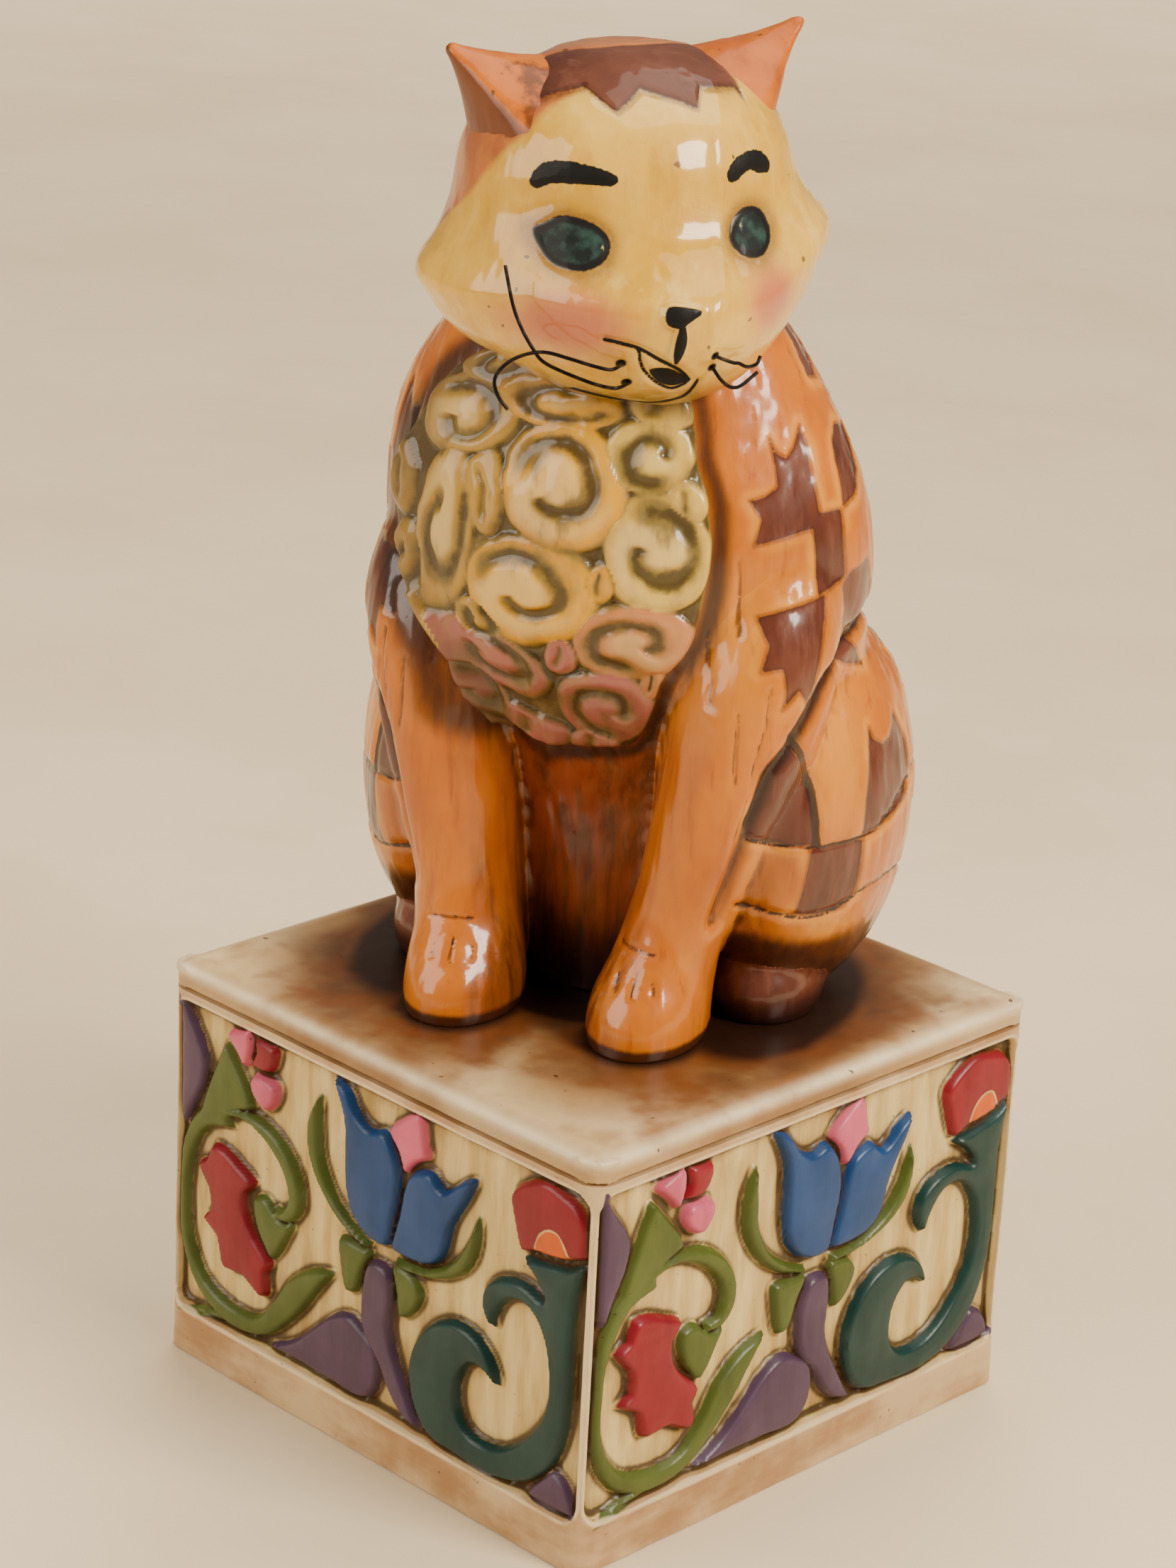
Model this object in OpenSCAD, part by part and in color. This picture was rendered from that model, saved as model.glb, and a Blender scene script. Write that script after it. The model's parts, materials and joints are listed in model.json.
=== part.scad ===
// Carved and painted cat sitting on a square box plinth with relief panels.
// Millimetres, +Z up. The origin is the centre of the plinth's underside.
// The front panel faces -Y. The cat is turned from -Y towards +X, and looks further round.

/* [Plinth] */
// Side of the square plinth
plinth_w = 105; // [102:1:110]
// Height of the plinth
plinth_h = 74; // [72:1:80]
// Thickness of the carved side panels
panel_t = 9; // [8:0.5:10]
// Depth of the carved ground below the panel's face
relief_d = 2.4; // [1.8:0.1:3]
// Radius of the worn vertical corners
corner_r = 4; // [2:0.5:5]
// Thickness of the top board at its lip
lip_t = 5; // [4:0.5:6]
// Thickness of the bottom board
bottom_t = 6; // [5:0.5:8]

/* [Figure] */
// Turn of the cat's body from the plinth's front
body_turn = 25; // [15:1:30]
// Further turn of the head to the cat's left
head_turn = 36; // [20:1:40]
// Lean of the head, the cat's left side up
head_tilt = 3.5; // [0:0.5:6]
// Height above the plinth at which the head is glued on
neck_z = 112; // [111:0.5:113]
// Height above the plinth of the middle of the head
head_z = 131; // [130.5:0.5:131.5]

/* [Joinery] */
// Diameter of the neck dowel
neck_dowel_d = 10; // [8:1:12]
// Diameter of the dowels under the forelegs
paw_dowel_d = 6; // [5:0.5:7]
// Diameter of the tail dowel
tail_dowel_d = 5; // [4:0.5:5]
// Diameter of the ear dowels
ear_dowel_d = 3; // [2.5:0.5:3]
// Diameter of the whisker wire
wire_d = 0.8; // [0.7:0.1:0.9]
// Diameter of the screws up into the cat's body
body_screw_d = 4; // [3.5:0.5:4.5]
// Diameter of the screws through the bottom board
base_screw_d = 3; // [2.5:0.5:3.5]

/* [Hidden] */

round_fn = 48;               // facets of true round work
form_fn = 26;                // facets of the carved forms
design = [105, 74];          // grid that the panel design is drawn on
play = 0.05;                 // radial room round each dowel and screw
rebate_t = 5;                // part of the top board that drops inside the panels
panel_h = plinth_h - lip_t;
inner_w = plinth_w - 2 * panel_t;
block_w = 13;
block_top = panel_h - rebate_t;
screw_at = inner_w / 2 - block_w / 2;
base_screw_l = 20;
body_screw_l = 32;
body_screw_y = [4, 26];      // along the cat's own length
paw_at = [15.5, -16];        // middle of the left paw's dowel, mirrored for the right
tail_root = [1, 38, 9];
neck_at = [0, -4];
whisker_hole = 5.5;          // depth of each whisker hole

// Where each whisker leaves the muzzle, in the head's own frame
right_upper_root = [-9.5, -31, -12.3];
right_lower_root = [-8.1, -29, -15.9];
left_upper_root = [4.3, -34.5, -11.3];
left_lower_root = [4.4, -33, -13.6];

// Colours of the painted wood
cream = "#d9bf96";
ochre = "#d98a45";
gold = "#e0b860";
rust = "#7a4338";
leaf_green = "#5f7a35";
plum = "#4f4459";
carmine = "#a8182f";
rose = "#d98a96";
sea_blue = "#164f86";
teal_green = "#14564f";

// ---- curves ----
function spline(a, b, c, d, t) =
    0.5 * (2 * b + (c - a) * t + (2 * a - 5 * b + 4 * c - d) * t * t
           + (3 * b - a - 3 * c + d) * t * t * t);
function at(rows, i) = rows[min(max(i, 0), len(rows) - 1)];
function smooth(rows, n) =
    [for (i = [0 : len(rows) - 2], k = [0 : n - 1])
        spline(at(rows, i - 1), rows[i], rows[i + 1], at(rows, i + 2), k / n),
     rows[len(rows) - 1]];
function smooth_loop(p, n) =
    let (m = len(p))
    [for (i = [0 : m - 1], k = [0 : n - 1])
        spline(p[(i + m - 1) % m], p[i], p[(i + 1) % m], p[(i + 2) % m], k / n)];
function unit(v) = v / norm(v);
function side_of(p, i) = let (t = unit(at(p, i + 1) - at(p, i - 1))) [-t[1], t[0]];

// ---- solids made of rings ----
// rings: equal-length lists of points, first and last capped
module rings_solid(rings) {
    k = len(rings[0]);
    m = len(rings);
    pts = [for (r = rings, p = r) p];
    walls = [for (i = [0 : m - 2], j = [0 : k - 1], half = [0, 1])
        let (a = i * k + j, b = i * k + (j + 1) % k)
        half == 0 ? [a, b + k, b] : [a, a + k, b + k]];
    polyhedron(pts, concat(walls, [[for (j = [0 : k - 1]) j]],
                           [[for (j = [k - 1 : -1 : 0]) (m - 1) * k + j]]));
}

// rows: [height, middle x, middle y, half width, half depth]
module loft(rows, sides = 28, steps = 2) {
    rings_solid([for (s = smooth(rows, steps))
        [for (j = [0 : sides - 1]) let (a = 360 * j / sides)
            [s[1] + s[3] * cos(a), s[2] + s[4] * sin(a), s[0]]]]);
}

// path: [x, y, z, radius]; up must not run along the path
module tube(path, up = [0, 0, 1], sides = 8, steps = 2) {
    rows = smooth(path, steps);
    spine = [for (r = rows) [r[0], r[1], r[2]]];
    rings_solid([for (i = [0 : len(rows) - 1])
        let (t = unit(at(spine, i + 1) - at(spine, i - 1)), u = unit(cross(up, t)), v = cross(t, u))
        [for (j = [0 : sides - 1]) let (a = 360 * j / sides)
            spine[i] + rows[i][3] * (u * cos(a) + v * sin(a))]]);
}

module egg(middle, half) { translate(middle) scale(half) sphere(r = 1, $fn = form_fn); }

// One skin round several carved forms, made before any hole is drilled
module carved() { resize([0, 0, 0]) children(); }

module drill(from, to, d, room = play) {
    v = to - from;
    translate(from) rotate([0, acos(v[2] / norm(v)), atan2(v[1], v[0])])
        cylinder(h = norm(v), d = d + 2 * room, $fn = round_fn);
}

module dowel(from, to, d) { drill(from, to, d, 0); }

// ---- frames ----
module on_plinth() { translate([0, 0, plinth_h]) rotate([0, 0, body_turn]) children(); }
module head_frame() {
    translate([0, -8, head_z]) rotate([0, 0, head_turn]) rotate([0, -head_tilt, 0]) children();
}
module on_side(i) { rotate([0, 0, 90 * i]) children(); }
module both() { children(); mirror([1, 0, 0]) children(); }

// ---- plinth ----
module rounded_square(w, r) {
    square([w, w - 2 * r], center = true);
    square([w - 2 * r, w], center = true);
    for (x = [-1, 1], y = [-1, 1]) translate([x, y] * (w / 2 - r)) circle(r = r, $fn = round_fn);
}

module plinth_top() {
    soft = 1.6;              // rounding of the lip's upper edge
    color(cream) difference() {
        union() {
            translate([0, 0, panel_h]) linear_extrude(lip_t - soft) rounded_square(plinth_w, corner_r);
            translate([0, 0, plinth_h - soft]) hull() {
                linear_extrude(0.01) rounded_square(plinth_w, corner_r, $fn = 32);
                translate([0, 0, soft * 0.7]) linear_extrude(0.01) rounded_square(plinth_w - soft * 0.6, corner_r);
                translate([0, 0, soft - 0.01]) linear_extrude(0.01) rounded_square(plinth_w - 2 * soft, corner_r);
            }
            translate([0, 0, block_top + rebate_t / 2]) cube([inner_w, inner_w, rebate_t], center = true);
        }
        on_plinth() {
            both() drill([paw_at[0], paw_at[1], -8], [paw_at[0], paw_at[1], 1], paw_dowel_d);
            for (y = body_screw_y) {
                drill([0, y, -11], [0, y, 1], body_screw_d);
                drill([0, y, -11], [0, y, -7], body_screw_d * 2);
            }
        }
    }
}

// Closed outline through its points, standing to the given share of the relief depth
module motif(outline, level, colour, steps = 2) {
    back = 1;
    color(colour) translate([-plinth_w / 2, -plinth_w / 2 + relief_d + back, 0]) rotate([90, 0, 0])
        linear_extrude(back + relief_d * level)
        polygon([for (p = smooth_loop(outline, steps))
            [p[0] * plinth_w / design[0], p[1] * plinth_h / design[1]]]);
}

// A stem of changing width along its own line: [x, y, half width]
module stem(line, level, colour) {
    p = smooth(line, 2);
    n = len(p) - 1;
    motif(concat([for (i = [0 : n]) [p[i][0], p[i][1]] + side_of([for (q = p) [q[0], q[1]]], i) * p[i][2]],
                 [for (i = [n : -1 : 0])
                     [p[i][0], p[i][1]] - side_of([for (q = p) [q[0], q[1]]], i) * p[i][2]]),
          level, colour, 1);
}

module panel_design() {
    // long leaf by the left edge
    motif([[2.2, 68], [6, 63.5], [9.5, 58], [9, 53], [6.5, 48], [4, 43], [2.4, 46], [2.2, 56]], 0.9, plum);
    // bud and its cup
    motif([[14, 62.5], [17, 60], [22, 53], [17, 50], [11.5, 46], [6.5, 43.5], [9, 52], [12, 59]], 0.85, leaf_green);
    motif([[14.5, 64.5], [17, 66.3], [21, 67], [21.5, 63], [19.8, 59.3], [17.3, 61.5]], 0.96, rose);
    motif([[22, 66.4], [27.6, 66], [27.4, 62.3], [25, 60.2], [20.8, 60.6], [21.9, 63.5]], 0.9, carmine);
    motif([[20.8, 57.5], [22.5, 60], [27.8, 59.4], [28.3, 56.4], [25.5, 53.2], [22.2, 54.8]], 0.98, rose);
    // curling vine round the carnation
    stem([[16, 48.8, 2.2], [9, 46.5, 2.2], [5, 40.5, 1.9], [3.6, 32, 1.5], [4.2, 22, 1.7], [9, 14.2, 2],
          [16.5, 11.4, 2.3], [24, 12.2, 2.2], [29, 16.2, 2.6], [33.5, 22, 3.2], [38.5, 27, 2.2], [43, 29.8, 0.4]],
         0.88, leaf_green);
    stem([[14, 49.5, 1.4], [20, 50.6, 1.3], [26.5, 49, 1.9], [31.3, 45, 2.1], [33.2, 39.8, 2.1], [31, 36, 1.7],
          [27.5, 35.6, 1.2]], 0.92, leaf_green);
    motif([[22, 36.3], [25.5, 37.5], [29, 35], [32.6, 35], [31.4, 31.5], [27.6, 26], [24.5, 28.4], [22.4, 32]],
          0.8, leaf_green);
    stem([[3, 7.6, 0.3], [9, 9.3, 1], [16, 10.4, 1.3], [25, 12, 1.2]], 0.8, leaf_green);
    motif([[11, 42.6], [14.5, 42.8], [18, 41.4], [22.8, 39], [20.6, 36], [21, 32.5], [23.5, 29], [27.4, 25.6],
           [26.3, 23], [26.8, 19.6], [24.7, 17.7], [20, 20], [15.2, 19.4], [13.5, 21.5], [12.6, 25], [8.2, 27.5],
           [10.6, 29.6], [10.2, 33.5], [7, 37.5], [9.6, 39.4]], 0.95, carmine, 1);
    // tulip
    motif([[41.8, 66.4], [45.8, 65.2], [48.5, 61.8], [51.5, 60.2], [55, 61], [58, 58], [59.3, 53], [58.6, 47],
           [57, 40.4], [52, 40], [47.5, 43], [45.6, 47.5], [45.2, 54], [44.6, 60]], 0.97, sea_blue);
    motif([[60, 53.2], [62, 56.4], [66.3, 57.8], [69.5, 55.8], [73.5, 59], [76.8, 60], [75.4, 56], [72, 50],
           [70.3, 44], [67, 40.7], [62, 39.8], [57.4, 40.6], [58.8, 47]], 0.93, sea_blue);
    motif([[62.4, 67.2], [64.4, 66], [65.2, 62.2], [65.8, 59.6], [63, 57.6], [60, 54.6], [58.2, 58.2],
           [55.6, 61.6], [59, 65]], 0.86, rose);
    stem([[38.6, 61.5, 0.4], [37.3, 56, 1.8], [37.9, 50, 1.9], [41, 44.6, 1.6], [46, 40.6, 1.3], [52, 38.3, 1]],
         0.9, leaf_green);
    stem([[77.2, 53.8, 0.4], [76.9, 50, 1.3], [75, 45, 1.8], [71, 41.2, 1.5], [65, 38.8, 1.2], [58, 38.2, 1]],
         0.9, leaf_green);
    motif([[44, 37.6], [49, 38.2], [52.5, 37.4], [50.6, 33], [49, 28.6], [46, 27.8], [44.6, 32]], 0.78, leaf_green);
    motif([[57.5, 37.6], [62, 37.8], [65.2, 34.6], [63, 30], [59.6, 28.2], [58.4, 33]], 0.78, leaf_green);
    // plum stem and its two scrolls
    motif([[51.5, 35.4], [54.5, 37], [57.8, 35.6], [58.5, 31], [58, 25.5], [60, 20], [64, 13], [66, 9.8],
           [62, 10.2], [58, 13.2], [55, 18], [51, 22.5], [50.2, 29]], 0.94, plum);
    motif([[26.5, 9.7], [33, 13.5], [38, 18], [43, 22.5], [47, 24.2], [51, 23], [55, 19.5], [55.3, 14],
           [53.2, 10.4], [49.5, 9], [44, 9.4], [35, 9.6]], 0.86, plum);
    motif([[91, 9.4], [94.5, 14], [97, 16.3], [100.6, 14.4], [102.4, 11.2], [102.8, 9.4], [97, 8.6]], 0.8, plum);
    // heavy double scroll under the poppy
    motif([[83.8, 25.2], [82.8, 29.3], [79.5, 32.4], [74.5, 33.7], [69, 32], [64.5, 27.5], [62.4, 21.5],
           [63.6, 14.6], [68, 9.8], [76, 8.8], [85, 8.9], [92, 11.5], [97.4, 17], [100, 24], [100.8, 33],
           [100.6, 42], [101.2, 49], [102.6, 55.2], [98.5, 53.4], [93, 52.3], [87.8, 51], [91.3, 48.4],
           [93.2, 45.6], [88.5, 46.8], [83, 45.6], [79.6, 42.4], [79.4, 38.4], [82, 35.3], [83.4, 39],
           [86.2, 42.2], [90.4, 42.3], [93.9, 38.4], [95.2, 31], [93.8, 24.5], [89.4, 18.6], [84, 15],
           [78.2, 14.7], [75.2, 18], [75.2, 23.4], [77.6, 26.9], [80.6, 26.8]], 0.98, teal_green);
    motif([[87.6, 51.8], [85.4, 57.4], [84.8, 61.4], [88, 64.4], [92.5, 66.4], [97, 65.6], [100, 64.6],
           [102.2, 62.2], [102.8, 58.5], [102.3, 55.6], [98.8, 54.2], [95, 53.4], [91, 52.6]], 0.9, carmine);
    motif([[91.8, 53], [92, 56], [94, 58.1], [96.6, 58.2], [98.4, 55.6], [98.6, 54]], 1, ochre);
}

// One side of the plinth, mitred at both ends, carved from one board
module side_panel(i) {
    field = [2, 102.8, 8.8, 67];     // left, right, low and high edge of the carved field
    field_r = 3;
    h = plinth_w / 2;
    sx = plinth_w / design[0];
    sz = plinth_h / design[1];
    on_side(i) union() {
        color(cream) difference() {
            intersection() {
                linear_extrude(panel_h)
                    polygon([[-h, -h], [h, -h], [h - panel_t, -h + panel_t], [-h + panel_t, -h + panel_t]]);
                linear_extrude(panel_h) rounded_square(plinth_w, corner_r);
            }
            translate([-h, -h + relief_d, 0]) rotate([90, 0, 0]) linear_extrude(relief_d + 1)
                translate([field[0] * sx + field_r, field[2] * sz + field_r]) {
                    fw = (field[1] - field[0]) * sx - 2 * field_r;
                    fh = (field[3] - field[2]) * sz - 2 * field_r;
                    translate([-field_r, 0]) square([fw + 2 * field_r, fh]);
                    translate([0, -field_r]) square([fw, fh + 2 * field_r]);
                    for (x = [0, fw], y = [0, fh]) translate([x, y]) circle(r = field_r, $fn = round_fn);
                }
        }
        panel_design();
    }
}

module panel_front() { side_panel(0); }
module panel_right() { side_panel(1); }
module panel_back() { side_panel(2); }
module panel_left() { side_panel(3); }

module plinth_bottom() {
    color(cream) difference() {
        translate([0, 0, bottom_t / 2]) cube([inner_w, inner_w, bottom_t], center = true);
        for (x = [-1, 1], y = [-1, 1]) translate([x, y, 0] * screw_at) base_screw(play);
    }
}

// Square blocks glued into the four inner corners
module corner_blocks() {
    color("#c8a878") difference() {
        for (x = [-1, 1], y = [-1, 1])
            translate([x * screw_at, y * screw_at, (bottom_t + block_top) / 2])
                cube([block_w, block_w, block_top - bottom_t], center = true);
        for (x = [-1, 1], y = [-1, 1]) translate([x, y, 0] * screw_at) base_screw(play);
    }
}

// Countersunk screw, head down and just below flush; room widens it into its own open hole
module base_screw(room = 0) {
    under = room > 0 ? -1 : 0.2;
    rotate_extrude($fn = round_fn) polygon([[0, under], [base_screw_d + room, under],
        [base_screw_d + room, 0.6], [base_screw_d / 2 + room, 0.6 + base_screw_d / 2],
        [base_screw_d / 2 + room, base_screw_l + room], [0, base_screw_l + room]]);
}

module bottom_screws() {
    color("#b08a3c") for (x = [-1, 1], y = [-1, 1]) translate([x, y, 0] * screw_at) base_screw();
}

// Cheese-head screws up through the top board into the cat
module body_screws() {
    head_h = 2.4;
    color("#b08a3c") on_plinth() for (y = body_screw_y) translate([0, y, 0]) {
        translate([0, 0, -7 - head_h]) cylinder(h = head_h, d = body_screw_d * 1.9, $fn = round_fn);
        translate([0, 0, -7.5]) cylinder(h = body_screw_l - 2.5, d = body_screw_d, $fn = round_fn);
    }
}

module paw_dowels() {
    color("#c8a878") on_plinth() both()
        dowel([paw_at[0], paw_at[1], -7.5], [paw_at[0], paw_at[1], 8], paw_dowel_d);
}

// ---- carved forms, in the cat's own frame: it faces -Y, its left is +X ----
module torso_form() {
    loft([[0, 0, 17, 29, 25], [15, 0, 16.5, 33, 26.5], [35, 0, 15, 35.5, 26.5], [50, 0, 11, 38.5, 28],
          [66, 0, 4.5, 42.5, 31.5], [80, 0, 2, 42, 30], [93, 0, 0.5, 39.5, 27.5], [103, 0, 0, 35.5, 24.5],
          [neck_z, 0, -1.5, 30, 22]], 32);
}

module foreleg_form() {
    loft([[0, 15.5, -17, 9, 12.5], [5, 15.5, -17.2, 9.8, 13.2], [11, 16.2, -16, 9, 11.8], [20, 19, -13.8, 8.4, 10.6],
          [32, 22, -13, 9.6, 12], [50, 26, -12, 12.2, 14], [66, 28.5, -10, 14, 15], [78, 28, -8, 12, 12],
          [86, 27, -7, 7, 7]], 24);
}

module haunch_form() { egg([26.5, 13, 33], [18, 28.5, 34]); }
module hind_paw_form() { egg([30, 2, 5], [8.5, 12, 8]); }
module above_plinth() { translate([-60, -60, 0]) cube([120, 120, 170]); }
module below_neck() { translate([-60, -60, -1]) cube([120, 120, neck_z + 1]); }
module above_neck() { translate([-60, -60, neck_z]) cube([120, 120, 60]); }

// Skull with wide pointed cheeks, a short muzzle, and the neck below it
module head_form() {
    head_frame() {
        loft([[-20, 0, -8, 12, 14], [-17, 0, -6.5, 19.5, 20], [-12, 0, -4, 25.5, 24.5], [-6, 0, -2.5, 30.5, 26.5],
              [-1, 0, -1, 34, 27], [3, 0, 0, 33, 27.5], [9, 0, 0, 29.4, 27.5], [15, 0, 0, 27.6, 26], [21, 0, 0, 24, 22.5],
              [26, 0, 0.5, 18, 17], [29.6, 0, 1, 10, 9.5], [31, 0, 1, 3, 3]], 32);
        egg([0, -21, -8], [13.5, 15.2, 11.8]);
    }
    loft([[neck_z - 1, 0, -1.5, 30, 22], [neck_z, 0, -1.5, 30, 22], [neck_z + 5, 0, -3, 26.6, 20],
          [neck_z + 10, 0, -4, 23, 18]], 32);
}

// The left ear before it is fitted to the skull
module ear_blank() {
    hull() {
        translate([28, -1, 34]) sphere(r = 1.1, $fn = 12);
        translate([11.5, 0, 27]) sphere(r = 2.6, $fn = 16);
        translate([21.5, 0, 17.5]) sphere(r = 2.6, $fn = 16);
        translate([15, 6, 22]) sphere(r = 2.6, $fn = 16);
    }
}

module ruff_form() {
    egg([-1, -15, 84], [26.5, 17, 33]);
    // the curls stand out of it, the large ones above and the small ones at its point
    for (c = [[-12, -28, 97, 9], [3, -29, 101, 7], [8, -29, 85, 8], [-13, -29.5, 79, 9], [-24, -22, 88, 7],
              [-16, -27.5, 65, 7], [4, -28.5, 70, 8], [-3, -25.5, 58, 6]])
        egg([c[0], c[1], c[2]], [c[3], 5, c[3]]);
}

module ear_dowel_line(room) {
    head_frame() both() drill([13, 1.5, 19], [20, 1.5, 27.5], ear_dowel_d, room);
}
module neck_dowel_line(room) {
    drill([neck_at[0], neck_at[1], neck_z - 14], [neck_at[0], neck_at[1], neck_z + 14], neck_dowel_d, room);
}
module tail_dowel_line(room) { drill(tail_root + [0, -10, 0], tail_root + [0, 8, 0], tail_dowel_d, room); }

// ---- pieces of the cat ----
module torso() {
    color(ochre) on_plinth() difference() {
        carved() difference() {
            torso_form();
            both() foreleg_form();
        }
        for (y = body_screw_y) drill([0, y, -1], [0, y, body_screw_l - 9], body_screw_d);
        neck_dowel_line(play);
        tail_dowel_line(play);
    }
}

module chest_ruff() {
    color("#d8c48c") on_plinth() carved() difference() {
        intersection() { ruff_form(); below_neck(); }
        torso_form();
        both() foreleg_form();
        head_form();
    }
}

module foreleg() {
    color(ochre) difference() {
        carved() foreleg_form();
        drill([paw_at[0], paw_at[1], -1], [paw_at[0], paw_at[1], 8.5], paw_dowel_d);
    }
}
module foreleg_left() { on_plinth() foreleg(); }
module foreleg_right() { on_plinth() mirror([1, 0, 0]) foreleg(); }

module haunch() {
    color(rust) carved() difference() {
        intersection() { haunch_form(); above_plinth(); }
        torso_form();
        foreleg_form();
        hind_paw_form();
    }
}
module haunch_left() { on_plinth() haunch(); }
module haunch_right() { on_plinth() mirror([1, 0, 0]) haunch(); }

module hind_paw() {
    color(rust) carved() difference() {
        intersection() { hind_paw_form(); above_plinth(); }
        torso_form();
        foreleg_form();
    }
}
module hind_paw_left() { on_plinth() hind_paw(); }
module hind_paw_right() { on_plinth() mirror([1, 0, 0]) hind_paw(); }

// Curled on the plinth behind the cat
module tail() {
    color(ochre) on_plinth() difference() {
        carved() difference() {
            intersection() {
                tube([[1, 36, 9, 6.4], [-1, 45, 8, 6.4], [-8, 51, 6.6, 6.2], [-17, 52.5, 6, 6], [-25, 49.5, 5.6, 5.4],
                      [-30, 43.5, 5, 4.4], [-31.5, 38, 4, 2.6]], [0, 0, 1], 14);
                above_plinth();
            }
            torso_form();
            mirror([1, 0, 0]) haunch_form();
        }
        tail_dowel_line(play);
    }
}

module tail_dowel() { color("#c8a878") on_plinth() tail_dowel_line(0); }
module neck_dowel() { color("#c8a878") on_plinth() neck_dowel_line(0); }

module head() {
    color(gold) on_plinth() difference() {
        carved() intersection() { head_form(); above_neck(); }
        neck_dowel_line(play);
        ear_dowel_line(play);
        head_frame() for (root = [right_upper_root, right_lower_root, left_upper_root, left_lower_root])
            drill(root + [0, whisker_hole, 0], root - [0, 5, 0], wire_d);
    }
}

module fitted_ear() {
    color(ochre) on_plinth() difference() {
        carved() difference() {
            head_frame() children();
            head_form();
        }
        ear_dowel_line(play);
    }
}
module ear_left() { fitted_ear() ear_blank(); }
module ear_right() { fitted_ear() mirror([1, 0, 0]) ear_blank(); }
module ear_dowels() { color("#c8a878") on_plinth() ear_dowel_line(0); }

// ---- whiskers: bent wire glued into the muzzle, in the head's own frame ----
module whisker(root, bends, up) {
    path = concat([root + [0, whisker_hole - 0.3, 0], root], bends);
    color("#2a2320") on_plinth() head_frame()
        tube([for (p = path) [p[0], p[1], p[2], wire_d / 2]], up, 8, 2);
}

module whisker_right_upper() {
    whisker(right_upper_root, [[-9.7, -32.2, -12.3], [-11.8, -34, -12.4], [-14.3, -33.5, -11.8],
        [-17.8, -32, -10.7], [-20.8, -30, -10], [-23.1, -28, -10.5], [-25.4, -26, -11.9], [-27.2, -25, -13.8],
        [-27.7, -24.5, -15.7], [-27.1, -24.5, -17.9], [-25.8, -25, -19.9]], [0.3, 1, 0.2]);
}
module whisker_right_lower() {
    whisker(right_lower_root, [[-8.3, -30.4, -15.9], [-10.5, -32.5, -15.8], [-12.5, -32, -15.5],
        [-15, -31, -14.7], [-18.9, -29.5, -13], [-21.1, -28.5, -11.7], [-22.2, -27.5, -10.1],
        [-23.7, -26.5, -7], [-24.8, -25.5, -3.3], [-25.5, -24, 2.5]], [0.3, 1, 0.2]);
}
module whisker_left_upper() {
    whisker(left_upper_root, [[4.5, -35.4, -11.4], [6.9, -35.8, -12.4], [8.1, -35.2, -12.8],
        [9.4, -34.4, -13.6], [10.7, -33.2, -14], [12, -32.2, -13.9], [12.7, -31.5, -13]], [0.2, 1, 0.3]);
}
module whisker_left_lower() {
    whisker(left_lower_root, [[4.5, -33.8, -13.8], [5.3, -34.8, -15.2], [6.8, -34, -16.6], [8.4, -33, -17.2],
        [9.9, -32, -17], [11.2, -31.3, -16.4], [12.5, -30.8, -15.7]], [0.2, 1, 0.3]);
}

plinth_top();
panel_front();
panel_right();
panel_back();
panel_left();
plinth_bottom();
corner_blocks();
bottom_screws();
body_screws();
paw_dowels();
torso();
chest_ruff();
foreleg_left();
foreleg_right();
haunch_left();
haunch_right();
hind_paw_left();
hind_paw_right();
tail();
tail_dowel();
neck_dowel();
head();
ear_left();
ear_right();
ear_dowels();
whisker_left_upper();
whisker_left_lower();
whisker_right_upper();
whisker_right_lower();
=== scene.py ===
import json
import math

import bpy
import numpy as np
from mathutils import Matrix, Vector
from mathutils.bvhtree import BVHTree

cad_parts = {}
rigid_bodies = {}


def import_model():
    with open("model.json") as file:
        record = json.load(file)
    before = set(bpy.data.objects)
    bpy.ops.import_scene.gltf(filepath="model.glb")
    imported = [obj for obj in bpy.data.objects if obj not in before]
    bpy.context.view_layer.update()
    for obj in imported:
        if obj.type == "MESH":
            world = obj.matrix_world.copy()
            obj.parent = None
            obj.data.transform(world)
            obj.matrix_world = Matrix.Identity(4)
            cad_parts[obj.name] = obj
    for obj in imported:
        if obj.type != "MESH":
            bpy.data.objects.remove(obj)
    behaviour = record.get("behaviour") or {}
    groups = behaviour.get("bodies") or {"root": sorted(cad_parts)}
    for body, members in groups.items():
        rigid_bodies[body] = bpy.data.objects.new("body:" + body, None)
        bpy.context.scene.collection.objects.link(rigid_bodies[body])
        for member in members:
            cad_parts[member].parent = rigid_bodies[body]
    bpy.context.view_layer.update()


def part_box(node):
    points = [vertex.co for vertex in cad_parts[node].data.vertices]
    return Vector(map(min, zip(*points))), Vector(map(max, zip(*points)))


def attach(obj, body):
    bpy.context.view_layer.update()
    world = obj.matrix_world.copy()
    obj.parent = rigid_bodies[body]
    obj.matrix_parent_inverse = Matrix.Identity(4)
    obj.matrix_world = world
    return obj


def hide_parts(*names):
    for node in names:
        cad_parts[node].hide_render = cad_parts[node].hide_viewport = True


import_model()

mm = 0.001
plinthLow, plinthHigh = (np.array(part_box("plinth_top")[i]) / mm for i in (0, 1))
# height of the plinth, in mm like all the sculpting below
plinthTop = float(plinthHigh[2])
plinthSide = float(plinthHigh[0] - plinthLow[0])
panelHigh = float(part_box("panel_front")[1][2]) / mm

# what an outline or a line counts as where it is far away, in mm
farInside, farLine, reachOut = -6.0, 9.0, 6
figure = {"bodyTurn": 25, "headTurn": 36, "headTilt": 3.5, "headAt": (0, -8, 131)}


def deselectAll():
    if bpy.context.mode != "OBJECT":
        bpy.ops.object.mode_set(mode="OBJECT")
    bpy.ops.object.select_all(action="DESELECT")


def pick(*objs):
    deselectAll()
    for o in objs:
        o.select_set(True)
    bpy.context.view_layer.objects.active = objs[0]


def nameIt(name):
    obj = bpy.context.object
    obj.name = name
    obj.data.name = name
    return obj


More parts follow.
